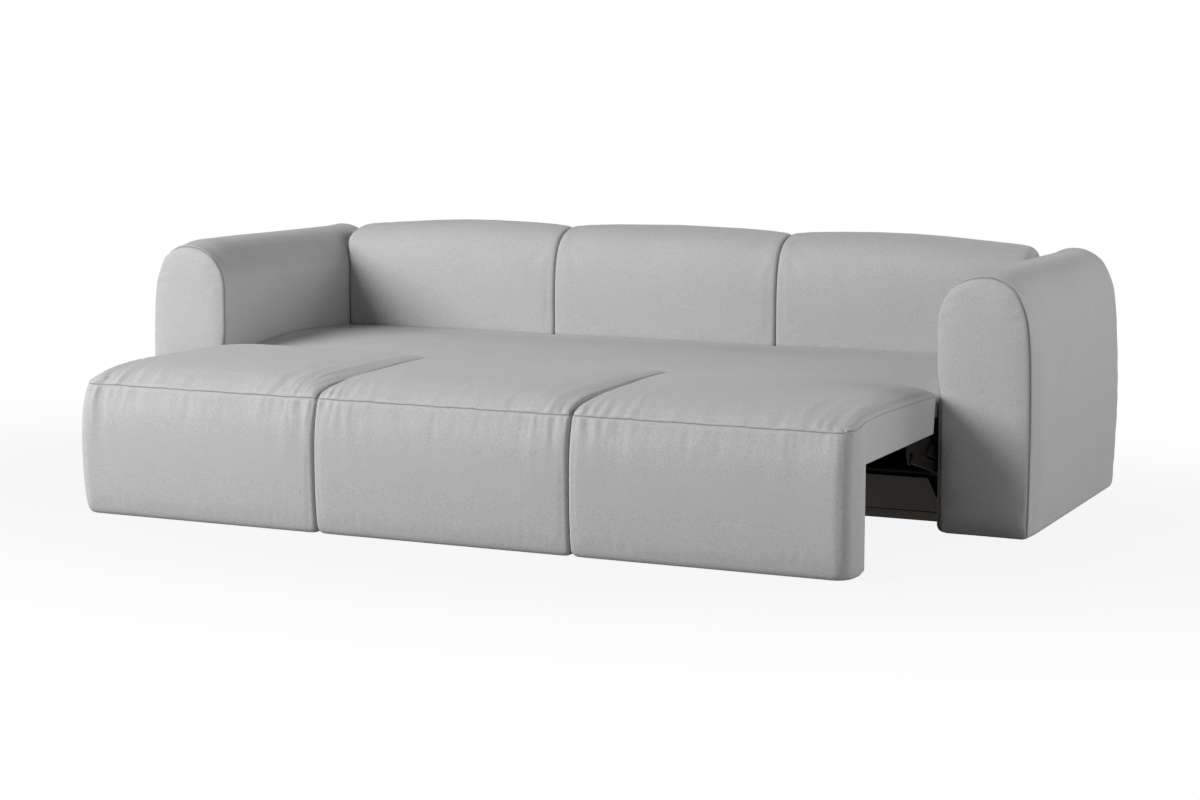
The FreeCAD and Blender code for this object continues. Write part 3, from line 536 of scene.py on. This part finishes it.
# outlines as depth and height: the front pad's, then the seat's, at the middle of a module and at its ends
frontMiddle = [(-.702, .0010), (-.7150, .0030), (-.7225, .0130), (-.7300, .0450), (-.7360, .1200),
               (-.7380, .2000), (-.7365, .2650), (-.7305, .3150), (-.7215, .3500), (-.7120, .3720)]
frontEnd = [(-.699, .0010), (-.7110, .0030), (-.7185, .0130), (-.7250, .0450), (-.7310, .1200),
            (-.7325, .2000), (-.7310, .2650), (-.7250, .3150), (-.7165, .3500), (-.7080, .3735)]
topMiddle = [(-.7120, .3720), (-.7035, .3855), (-.6900, .3975), (-.6640, .4110), (-.6200, .4225),
             (-.5620, .4305), (-.4800, .4345), (-.3630, .4360), (-.2500, .4355), (-.1500, .4325),
             (-.0800, .4255), (-.0400, .4160), (-.0160, .4010), (-.0045, .3800)]
topInner = [(-.7080, .3735), (-.6990, .3790), (-.6840, .3850), (-.6640, .3900), (-.6420, .3930),
            (-.5620, .3985), (-.4800, .4010), (-.3630, .4050), (-.2500, .4090), (-.1350, .4090),
            (-.0800, .4060), (-.0400, .4005), (-.0160, .3905), (-.0045, .3760)]
topOuter = [(-.7120, .3720), (-.7045, .3757), (-.6890, .3802), (-.6670, .3848), (-.6380, .3885),
            (-.5680, .3935), (-.4610, .3960), (-.3630, .3955), (-.2990, .3940), (-.1290, .3895),
            (-.0800, .3880), (-.0400, .3865), (-.0160, .3850), (-.0045, .3825)]
seamSteps = [0.0016, 0.0036, 0.0064, 0.0105, 0.0165, 0.025]      # rows of faces beside the seam


def moduleMesh(name, x0, x1, outerEnds, flare):
    a = moduleLook
    frontLong, topLong, under = a["frontLong"], a["topLong"], a["under"]
    fronts = sorted([0.0, 0.006, 0.014, 0.024, 0.036] + spread(0.050, frontLong - 0.036, 0.0125)
                    + [frontLong - d for d in seamSteps] + [frontLong])
    tops = sorted([frontLong + d for d in seamSteps] + [frontLong + d for d in spread(0.036, 0.250, 0.0125)]
                  + [frontLong + d for d in spread(0.250, topLong - 0.05, 0.023)]
                  + [frontLong + topLong - d for d in (0.05, 0.034, 0.020, 0.010, 0.004, 0.0)])
    ends = [0.0, 0.0014, 0.0036, 0.0070, 0.0115, 0.0170, 0.0240, 0.0320]
    wide = x1 - x0
    inside = spread(0.040, 0.165, 0.0085) + spread(0.165, wide / 2, 0.0125)
    across = np.array(sorted(ends + inside + [wide - v for v in ends + inside] + [wide / 2])) - wide / 2
    deep = [0, .014, .034, .062, .10, .15, .21, .29, .40, .55, .70, .84, .94, 1]
    uvw, quads = blockSkin(fronts + tops, deep, across)
    s, w, x = uvw.T
    low = s <= frontLong
    shareFront, shareTop = s / frontLong, (s - frontLong) / topLong
    beyond = np.clip(s - frontLong, 0, None)
    outer = np.where(x < 0, outerEnds[0], outerEnds[1])
    radius = a["corner"] * (1 - outer * 0.97)
    radius = radius + (a["topCorner"] - radius) * soften(beyond, 0.0, 0.045)
    xr, tr = cornerRound(x, w * a["thick"], wide / 2, radius)
    w = tr / a["thick"]
    run = a["frontRun"] + (a["topRun"] - a["frontRun"]) * soften(beyond, 0.0, 0.075)
    v = quarter((wide / 2 - np.abs(xr)) / run)
    outer = np.where(xr < 0, outerEnds[0], outerEnds[1])[:, None]
    middle = np.where(low[:, None], lineThrough(frontMiddle, shareFront), lineThrough(topMiddle, shareTop))
    innerTop, outerTop = lineThrough(topInner, shareTop), lineThrough(topOuter, shareTop)
    ends = lineThrough(frontEnd, shareFront) * (1 - outer) + lineThrough(frontMiddle, shareFront) * outer
    edge = np.where(low[:, None], ends, innerTop + (outerTop - innerTop) * outer)
    skin = middle + (edge - middle) * v[:, None]
    inner = np.stack([np.where(low, a["padBack"], a["padBack"] + a["seatRun"] * shareTop),
                      np.where(low, a["foot"] + a["padTall"] * shareFront, under)], -1)
    yz = skin + (inner - skin) * w[:, None]
    y, z = yz.T
    outer = outer[:, 0]
    top = np.interp(y, [p[0] for p in topInner[1:]], [p[1] for p in topInner[1:]])
    nearTop = np.exp(-(np.clip(top - z, 0, None) / 0.034) ** 2)
    pinch = (0.0006 + 0.0022 * outer * soften(-y, 0.0, 0.25)) * nearTop
    foot = a["footInner"] + (a["footOuter"] - a["footInner"]) * outer
    pinch = pinch + foot * quarter((z - a["foot"]) / foot)
    bulge = a["sideBulge"] * outer * np.sin(np.pi * np.clip(z / a["bulgeTall"], 0, 1)) ** 0.26
    pinch = pinch - bulge * soften(-y, 0.59, 0.64)
    pinch = pinch + flare * outer * (1 - soften(y, -0.742, -0.635))
    xs = xr * (1 - pinch / (wide / 2))
    r = a["planCorner"]                              # the outer front corner is rounded when seen from above
    face = np.where(low, skin[:, 0], frontMiddle[-1][0])
    half = wide / 2 - pinch
    xt, t = cornerRound(xs, y - face, half, r)
    xs, y = np.where(outer > 0.5, xt, xs), np.where(outer > 0.5, t + face, y)
    r = a["rearCorner"]
    rearTop, rearTopAt = topOuter[-1]
    rear = np.interp(z, [under, rearTopAt], [a["rearUnder"], rearTop])
    xt, t = cornerRound(xs, rear - y, half, r)
    xs, y = np.where(outer > 0.5, xt, xs), np.where(outer > 0.5, rear - t, y)
    reach, t = cornerRound(y - rear + 1.0, z - under, 1.0, r)
    y, z = np.where(low, y, reach - 1.0 + rear), np.where(low, z, t + under)
    xs = xs + (x0 + x1) / 2
    points = np.stack([xs, y + armFace, z], -1)
    piece = bring(name, points, quads, {"s": s - frontLong, "t": uvw[:, 1] * a["thick"], "x": x + wide / 2})
    return piece, wide


def sewModule(piece, wide, seed, outerEnds):
    s, t, x = readMarks(piece)
    points = readPoints(piece)
    side = (x < 1e-5) | (x > wide - 1e-5)
    skinSide = t < 1e-5
    ripple = 0.0005 * np.sin(x * 41 + seed) + 0.0003 * np.sin(x * 103 + 2 * seed)
    edgeSeam = moduleLook["sideSeam"] * soften(s, 0.0, 0.045)
    fromTop = np.hypot(np.clip(t - edgeSeam, 0, None), s)
    fromEdge = np.hypot(np.clip(-s, 0, None), t - edgeSeam)
    flat = np.abs(s - ripple)
    seam = np.where(side, np.minimum(fromTop, fromEdge), np.where(skinSide, flat, 1.0))
    jointAt, jointFrom = moduleLook["joint"]
    fromJoint = points[:, 1] - armFace - jointAt
    joint = np.where(side & (points[:, 2] > jointFrom), np.abs(fromJoint) + 0.0005, 1.0)
    # where the boxing's joint meets the side seam a small round spot joins the seam mark, so it gets the groove
    # and the painted seam shade
    knot = np.where(side, np.clip(np.hypot(fromJoint, t - edgeSeam) - 0.0012, 0, None), 1.0)
    writeMark(piece, "seam", np.minimum(np.minimum(seam, joint), knot))
    groove = -moduleLook["grooveDeep"] * np.exp(-(seam / moduleLook["grooveWide"]) ** 2)
    groove = groove + moduleLook["padBeside"] * np.exp(-((seam - 0.012) / 0.009) ** 2)
    below = gatherField(seed, x, np.clip(-s, 0, None), 0.006, wide - 0.006, moduleLook["below"]) * (s < 0)
    above = sum(gatherField(seed + more, x, np.clip(s, 0, None), 0.004, wide - 0.004, moduleLook[key])
                for key, more in (("above", 50), ("long", 90))) * (s > 0)
    fade = 1.0
    for gap, outer in zip((x, wide - x), outerEnds):
        fade = fade * soften(gap, 0.0, 0.012 + 0.033 * outer)
    folds = np.where(skinSide, below + above, 0.0) * fade
    pushOut(piece, groove + folds)


modules = {                                          # from, to, which ends are outer, flare of the foot, seed
    "left": (-1.1395, -0.3836, (1, 0), 0.0, 3),
    "middle": (-0.3820, 0.3792, (0, 0), 0.0, 8),
    "right": (0.3808, 1.1390, (0, 1), 0.012, 14),
}
for side, (x0, x1, outerEnds, flare, seed) in modules.items():
    piece, wide = moduleMesh(side + "SeatModule", x0, x1, outerEnds, flare)
    s, t, x = readMarks(piece)
    toEnd = np.minimum(s + moduleLook["frontLong"], moduleLook["topLong"] - s)
    toEdge = np.minimum(np.minimum(x, wide - x), toEnd)
    loose = soften(toEdge, 0.006, 0.030) * soften(abs(s), 0.0, 0.022) * soften(s, *moduleLook["footHeld"])
    inflate(piece, loose * (t < 1e-6))
    subdivide(piece)
    sewModule(piece, wide, seed, outerEnds)
    dress(piece, "seat", [side + "_seat_cushion", side + "_front_pad"])
    if 1 in outerEnds:                                # the soft end gives way between the arms when closed; here such a piece only gets a mesh of its own
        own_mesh(piece)


# arms: padded arch, domed face with a sewn edge
armLook = {"inner": 1.1400, "wide": 0.2600, "deep": 0.9550, "archStart": 0.572, "foot": 0.0012,
           "seamTop": 0.7100, "swellRun": 0.085, "dome": 0.0095, "domeEdge": 0.013, "domeMiddle": 0.006,
           "turnIn": 0.0045, "turnInLow": 0.0055, "turnInHigh": 0.0110, "shoulderIn": 0.006,
           "innerFull": 0.0035, "faceFoot": 0.022, "rearFoot": 0.036, "rearEdge": (0.030, 0.016),
           "rearInner": 0.012, "seamDeep": 0.0024, "seamWide": 0.0026, "puckers": 26, "puckerDeep": 0.0009}
# how far the arm leans out and swells at each height, and how high it is crowned at each depth
armHeights = [.00, .10, .20, .27, .34, .41, .50, .55, .585, .63, .671, .70, .73]
armLean = [-.002, .000, .001, .002, .001, .000, -.003, -.007, -.012, -.0185, -.0190, -.0180, -.010]
armBelly = [.005, .009, .012, .013, .0125, .011, .007, .004, .003, .003, .002, .001, .000]
armCrown = [(0.0, .0155), (.30, .0150), (.50, .0120), (.80, .0090), (.955, .0085)]


def armMesh(name, side):
    a = armLook
    r, start = a["wide"] / 2, a["archStart"]
    us = [1 - e / r for e in (0, .0016, .0042, .008, .013, .020, .030, .045, .065, .090)] + [0.12]
    us = sorted([-u for u in us] + us)
    heights = [0, .0025, .007, .013, .020, .028] + spread(0.040, 0.565, 0.025) + [start]
    arch = np.linspace(0, 1, 11)[1:]
    vs = heights + [start + q for q in arch]             # above the start the value counts the arch's shares
    ws = [0, .0014, .0040, .0080, .0135, .021, .031] + spread(.045, .165, .020) + spread(.165, .900, .030)
    ws += [.900, .923, .930, .937, .943, .948, .952, a["deep"]]
    uvw, quads = blockSkin(us, vs, ws)
    u, v, w = uvw.T
    q = np.clip(v - start, 0, 1)
    h = np.minimum(v, start)
    share = np.maximum(np.abs(u), q)
    e = r * (1 - share)                                  # distance in from the skin
    rear = a["rearEdge"][0] + (a["rearEdge"][1] - a["rearEdge"][0]) * soften(h + q * 0.1, 0.45, 0.60)
    rear = rear + (a["rearInner"] - rear) * soften(-u, 0.1, 0.7)      # crisper beside the rear cover
    de, dw = np.clip(rear - e, 0, None), np.clip(w - (a["deep"] - rear), 0, None)
    ratio = np.where((de > 0) & (dw > 0), np.maximum(de, dw) / np.maximum(np.hypot(de, dw), 1e-9), 1.0)
    eNew, depth = rear - (rear - e) * np.where(de > 0, ratio, 1.0), w + dw * (ratio - 1)
    e2 = np.where(e < rear, eNew, e)
    inward = soften(-u, 0.2, 0.9)
    high = soften(h + q * 0.1, 0.34, 0.45)
    front = a["turnIn"] + (a["turnInLow"] - a["turnInHigh"] * high) * inward
    front = front * quarter(w / 0.016)                   # the skin turns in to the sewn edge
    e2 = np.where(e < 1e-6, e2 + front, e2 + front * (1 - soften(e, 0, 0.02)))
    scale = np.where(share > 1e-6, (1 - e2 / r) / np.maximum(share, 1e-6), 1.0)
    u2, q2 = u * scale, q * scale
    swell = soften(w, 0.0, a["swellRun"]) * (1 - 0.25 * soften(w, a["deep"] - 0.08, a["deep"]))
    spring = a["seamTop"] - r
    x = r * u2 * np.sqrt(1 - q2 ** 2 / 2)
    z = a["foot"] + h / start * (spring - a["foot"]) + r * q2 * np.sqrt(1 - u2 ** 2 / 2)
    tall = (z - a["foot"]) / (a["seamTop"] - a["foot"])
    out = np.interp(z, armHeights, armLean) + swell * np.interp(z, armHeights, armBelly)
    z = z + np.interp(w, *zip(*armCrown)) * soften(w, 0.0, a["swellRun"]) * soften(tall, 0.15, 1.0)
    x = x + out * np.clip(x / r, 0, 1)
    x = x + a["shoulderIn"] * swell * soften(tall, 0.82, 0.93) * np.clip(-x / r, 0, 1)
    x = x - a["innerFull"] * (1 - soften(w, 0.02, 0.30)) * soften(tall, 0.48, 0.64) * np.clip(-x / r, 0, 1)
    dome = a["dome"] * (1 - np.exp(-e / a["domeEdge"]))
    dome = dome + a["domeMiddle"] * (1 - (1 - np.clip(e / r, 0, 1)) ** 2)
    footFade = soften(h, 0.0, 0.05)
    depth = depth - np.where(w < 1e-6, dome * footFade, 0)
    foot = a["faceFoot"] * (1 - 0.35 * np.clip(x / r, 0, 1))     # the lower edges are rolled under
    roll = foot * quarter((z - a["foot"]) / foot)
    x = x * (1 - roll / r)
    rise = a["rearFoot"] * quarter((z - a["foot"]) / a["rearFoot"])
    depth = depth + roll * 0.45 * np.clip(1 - depth / 0.2, 0, 1) - rise * 0.8 * soften(depth, 0.7, a["deep"])
    points = np.stack([side * (a["inner"] + r + x), depth + armFace, z], -1)
    return bring(name, points, quads, {"s": e, "t": w, "x": np.arctan2(q2 + (h - start) / r, u2)})


def sewArm(piece, seed):
    e, w, turn = readMarks(piece)
    face = w < 1e-5
    seam = np.where(face, e, np.where(e < 1e-5, w, 1.0))
    low = readPoints(piece)[:, 2] < 0.0095           # under the rolled foot
    # the arms' seam mark is widened by 0.5 mm, which widens their line of painted shade
    writeMark(piece, "seam", np.where(low, 1.0, np.clip(seam - 0.0005, 0, None)))
    rng = np.random.default_rng(seed)
    pucker = np.zeros(len(e))
    for turnAt in rng.uniform(0.35, 2.4, armLook["puckers"]):
        near = np.exp(-((turn - turnAt) / rng.uniform(0.02, 0.045)) ** 2)
        pucker += rng.uniform(0.3, 1.0) * near * rng.choice([1, -0.7])
    reach = np.where(face, np.exp(-((e - 0.008) / 0.010) ** 2), np.exp(-((w - 0.009) / 0.012) ** 2) * 0.5)
    groove = -armLook["seamDeep"] * np.exp(-(seam / armLook["seamWide"]) ** 2)
    pushOut(piece, groove + armLook["puckerDeep"] * pucker * reach * (seam < 0.05))


for side, name in ((-1, "left"), (1, "right")):
    piece = armMesh(name + "ArmCover", side)
    e, w, turn = readMarks(piece)
    onSkin = soften(np.minimum(w, armLook["deep"] - w), 0.004, 0.040) * (e < 1e-6)
    loose = np.where(w < 1e-6, soften(e, 0.004, 0.030), onSkin)
    inflate(piece, loose * soften(readPoints(piece)[:, 2], 0.02, 0.08))
    subdivide(piece)
    sewArm(piece, 21 if side < 0 else 22)
    dress(piece, "base", [name + "_arm_padding"])


# back cushions
backLook = {"edge": 0.009, "top": 0.758, "foot": 0.3978, "tall": 0.3602, "thick": 0.15, "rear": 0.9174,
            "rearTall": 0.3402, "draw": 0.004, "belly": 0.003, "armSwell": 0.0270, "armSwellAt": 0.690}
# height of the top: across a cushion from the arm beside it, and from a gap to the middle cushion's middle
armSideTop = [(0.0, .698), (0.004, .711), (0.012, .7205), (0.030, .7260), (0.064, .7300), (0.130, .7350),
              (0.248, .7440), (0.360, .7495), (0.471, .7505), (0.600, .7480), (0.690, .7440), (0.735, .7395),
              (0.750, .7360), (0.7586, .7310)]
gapSideTop = [(0.0, .7310), (0.009, .7360), (0.024, .7395), (0.070, .7440), (0.160, .7490), (0.3794, .7535)]
backOutline = [(.7800, .3975), (.7640, .3945), (.7560, .3935), (.7528, .3965), (.7518, .4700), (.7518, .5400),
               (.7548, .6000), (.7620, .6480), (.7770, .6930), (.8040, .7270), (.8400, .7480), (.8780, .7570),
               (.9030, .7565), (.9155, .7480)]


def backMesh(name, x0, x1, armEnds):
    a = backLook
    wide = x1 - x0
    ends = [0.0, 0.0015, 0.004, 0.008, 0.013, 0.019, 0.027, 0.038]
    inside = spread(0.050, wide / 2, 0.018)
    across = np.array(sorted(ends + inside + [wide - v for v in ends + inside] + [wide / 2])) - wide / 2
    up = [0, .01, .022, .036, .052] + spread(.075, .94, .026) + [.94, .965, .985, 1]
    deep = [0, .012, .03, .055, .09, .14, .22, .35, .5, .7, .88, 1]
    uvw, quads = blockSkin(up, deep, across)
    s, w, x = uvw.T
    xr, tr = cornerRound(x, w * a["thick"], wide / 2, a["edge"])
    w = tr / a["thick"]
    skin = lineThrough(backOutline, s)
    inner = np.stack([np.full_like(s, a["rear"]), a["foot"] + a["rearTall"] * s], -1)
    yz = skin + (inner - skin) * w[:, None]
    if armEnds[0] or armEnds[1]:
        fromArm = xr + wide / 2 if armEnds[0] else wide / 2 - xr
        top = np.interp(fromArm, *zip(*armSideTop))
    else:
        top = np.interp(wide / 2 - np.abs(xr), *zip(*gapSideTop))
    tall = np.clip((yz[:, 1] - a["foot"]) / a["tall"], 0, 1)
    z = yz[:, 1] - (a["top"] - top) * tall ** 1.6
    drawn = a["draw"] * quarter((wide / 2 - np.abs(xr)) / 0.05)
    y = yz[:, 0] + drawn * (1 - w) * (1 - soften(s, 0.8, 1.0))
    belly = a["belly"] * np.sin(np.pi * np.clip((xr + wide / 2) / wide, 0, 1))
    y = y - belly * (1 - w) * np.sin(np.pi * np.clip(tall, 0, 1))
    atArm = np.where(xr < 0, armEnds[0], armEnds[1])
    swell = a["armSwell"] * atArm * np.exp(-((z - a["armSwellAt"]) / 0.055) ** 2)
    xs = xr + np.sign(xr) * swell * soften(np.abs(xr), wide / 2 - 0.08, wide / 2) + (x0 + x1) / 2
    points = np.stack([xs, y + armFace, z], -1)
    return bring(name, points, quads, {"s": s, "t": w, "x": x + wide / 2}), wide


backs = {"left": (-1.1393, -0.3806, (True, False)), "middle": (-0.3794, 0.3794, (False, False)),
         "right": (0.3806, 1.1393, (False, True))}
for side, (x0, x1, armEnds) in backs.items():
    piece, wide = backMesh(side + "BackCushion", x0, x1, armEnds)
    s, t, x = readMarks(piece)
    loose = soften(np.minimum(x, wide - x), 0.008, 0.050) * soften(np.minimum(s - 0.05, 0.98 - s), 0.0, 0.06)
    inflate(piece, loose * (t < 1e-3))
    subdivide(piece)
    writeMark(piece, "seam", np.ones(len(piece.data.vertices)))
    dress(piece, "base", [side + "_back_cushion"])


# rear bed panel: one wide, nearly flat pad
panelLook = {"half": 1.1350, "front": -0.0020, "rear": 0.7530, "under": 0.3173, "level": 0.3960,
             "round": 0.018, "rearCrisper": 0.015, "endDrop": 0.003, "frontIn": 0.008, "keep": 0.970}
panelCrown = [(0.0, .3700), (.05, .3765), (.135, .3885), (.217, .4005), (.353, .4115), (.44, .4115),
              (.538, .4085), (.65, .4030), (.72, .3997), (.755, .3980)]         # depth and height of the top


def panelMesh():
    a = panelLook
    deep, tall = a["rear"] - a["front"], a["level"] - a["under"]
    xs = [0, .0015, .004, .008, .013, .020, .030, .045, .065, .090] + spread(.120, a["half"], .035)
    ys = [0, .0015, .004, .008, .013, .020, .030, .045] + spread(.065, deep - .045, .028)
    ys += [deep - v for v in (.045, .030, .020, .013, .008, .004, .0015, 0)]
    zs = [0, .006, .016, .030, .042, .052, .060, .066, .071, .075, .0775, tall]
    uvw, quads = blockSkin(mirrored(xs, a["half"]), ys, zs)
    x, y, z = uvw.T
    r = a["round"] - a["rearCrisper"] * soften(y, deep * 0.6, deep * 0.9)
    dx = np.clip(np.abs(x) - (a["half"] - r), 0, None)
    dy = np.clip(np.abs(y - deep / 2) - (deep / 2 - r), 0, None)
    dz = np.clip(z - (tall - r), 0, None)
    ratio = boxRound(dx, dy, dz)
    xn = np.sign(x) * (np.abs(x) + dx * (ratio - 1))
    yn = y + np.sign(y - deep / 2) * dy * (ratio - 1)
    zn = z + dz * (ratio - 1)
    up = soften(zn, 0.02, tall)
    ends = quarter((a["half"] - np.abs(xn)) / 0.12)
    zn = zn + up * (np.interp(yn, *zip(*panelCrown)) - a["level"] - a["endDrop"] * ends)
    lower = (1 - soften(z, 0.0, 0.045)) * (yn < deep / 2) * (1 - soften(yn, 0, 0.05))
    yn = yn + a["front"] + a["frontIn"] * lower          # the lower front edge is drawn back
    points = np.stack([xn, yn + armFace, zn + a["under"]], -1)
    return bring("rearBedPanel", points, quads)


piece = panelMesh()
x, y, z = readPoints(piece).T
fromFront, fromRear = y - armFace - panelLook["front"], panelLook["rear"] + armFace - y
toEdge = np.minimum(panelLook["half"] - abs(x), np.minimum(fromFront, fromRear))
inflate(piece, soften(toEdge, 0.020, 0.070) * (z > 0.36))
subdivide(piece)
writeMark(piece, "seam", np.ones(len(piece.data.vertices)))
dress(piece, "panel", ["panel_pad"])
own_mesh(piece)


# rear cover: folds round the frame's ends and over its top
rearCoverLook = {"deep": 0.0155, "over": 0.0017, "flap": 0.0195, "lip": 0.0215, "lipTall": 0.0222,
                 "round": 0.011, "belly": 0.004, "seams": (-0.38, 0.38), "seamDeep": 0.002, "seamWide": 0.006}


def rearCoverMesh():
    a = rearCoverLook
    low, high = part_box("rear_cover_pad")
    half, deep, tall = high.x + a["over"], a["deep"], high.z - low.z
    xs = [0, .0010, .0025, .005, .009, .014, .022] + spread(.035, half, .045)
    zs = [0, .0015, .004, .008, .014, a["lipTall"], a["lipTall"] + .0012] + spread(.035, tall / 2, .040)
    uvw, quads = blockSkin(mirrored(xs, half), [0, .004, .008, .011, .0135, deep], mirrored(zs, tall / 2))
    x, y, z = uvw.T
    r = a["round"]
    dx = np.clip(np.abs(x) - (half - r), 0, None)
    dz = np.clip(np.abs(z) - (tall / 2 - r), 0, None)
    dy = np.clip(y - (deep - r), 0, None)
    ratio = np.where(dy > 0, boxRound(dx, dy, dz), 1.0)
    xn = np.sign(x) * (np.abs(x) + dx * (ratio - 1))
    zn = np.sign(z) * (np.abs(z) + dz * (ratio - 1))
    yn = y + dy * (ratio - 1)
    yn = yn + a["belly"] * soften(y, 0.004, deep) * (1 - (xn / half) ** 6) * (1 - (2 * zn / tall) ** 4)
    inFront = y < 1e-6
    atEnd, atTop = np.abs(x) > half - 1e-6, z > tall / 2 - a["lipTall"] - 1e-6
    yn = yn - np.where(inFront & atTop, a["lip"], np.where(inFront & atEnd, a["flap"], 0.0))
    points = np.stack([xn, yn + low.y, zn + (low.z + high.z) / 2], -1)
    return bring("rearCover", points, quads, {"s": x, "t": y, "x": z})


piece = rearCoverMesh()
subdivide(piece)
seamAt = [abs(readMark(piece, "s") - place) for place in rearCoverLook["seams"]]
onRear = readMark(piece, "t") > rearCoverLook["deep"] - 0.0001
seam = np.where(onRear, np.minimum(*seamAt), 1.0)
writeMark(piece, "seam", seam)
pushOut(piece, -rearCoverLook["seamDeep"] * np.exp(-(seam / rearCoverLook["seamWide"]) ** 2))
dress(piece, "base", ["rear_cover_pad"])


# carried-over solids: eased edges and their own finishes
easedEdge = {"dark_brown_board": 0.0012, "black_steel": 0.0006, "timber": 0.0015, "plywood": 0.0006,
             "arm_board": 0.0008, "zinc_steel": 0.0004, "black_plastic": 0.0006, "black_rubber": 0.0006}
weldWithin, sharpFrom = 0.00002, math.radians(40)
for entry in frame["record"]["subparts"]:
    solid, kind = frame["nodes"][entry["node"]], entry["material_slot"]
    if solid.hide_render:
        continue
    for place in solid.material_slots:
        place.material = finishes[kind]
    if kind in easedEdge:
        weld = solid.modifiers.new("weld", "WELD")
        weld.merge_threshold = weldWithin
        bevel = solid.modifiers.new("ease", "BEVEL")
        bevel.width, bevel.segments = easedEdge[kind], 2
        bevel.limit_method, bevel.angle_limit = "ANGLE", sharpFrom
print("carried-over solids finished")
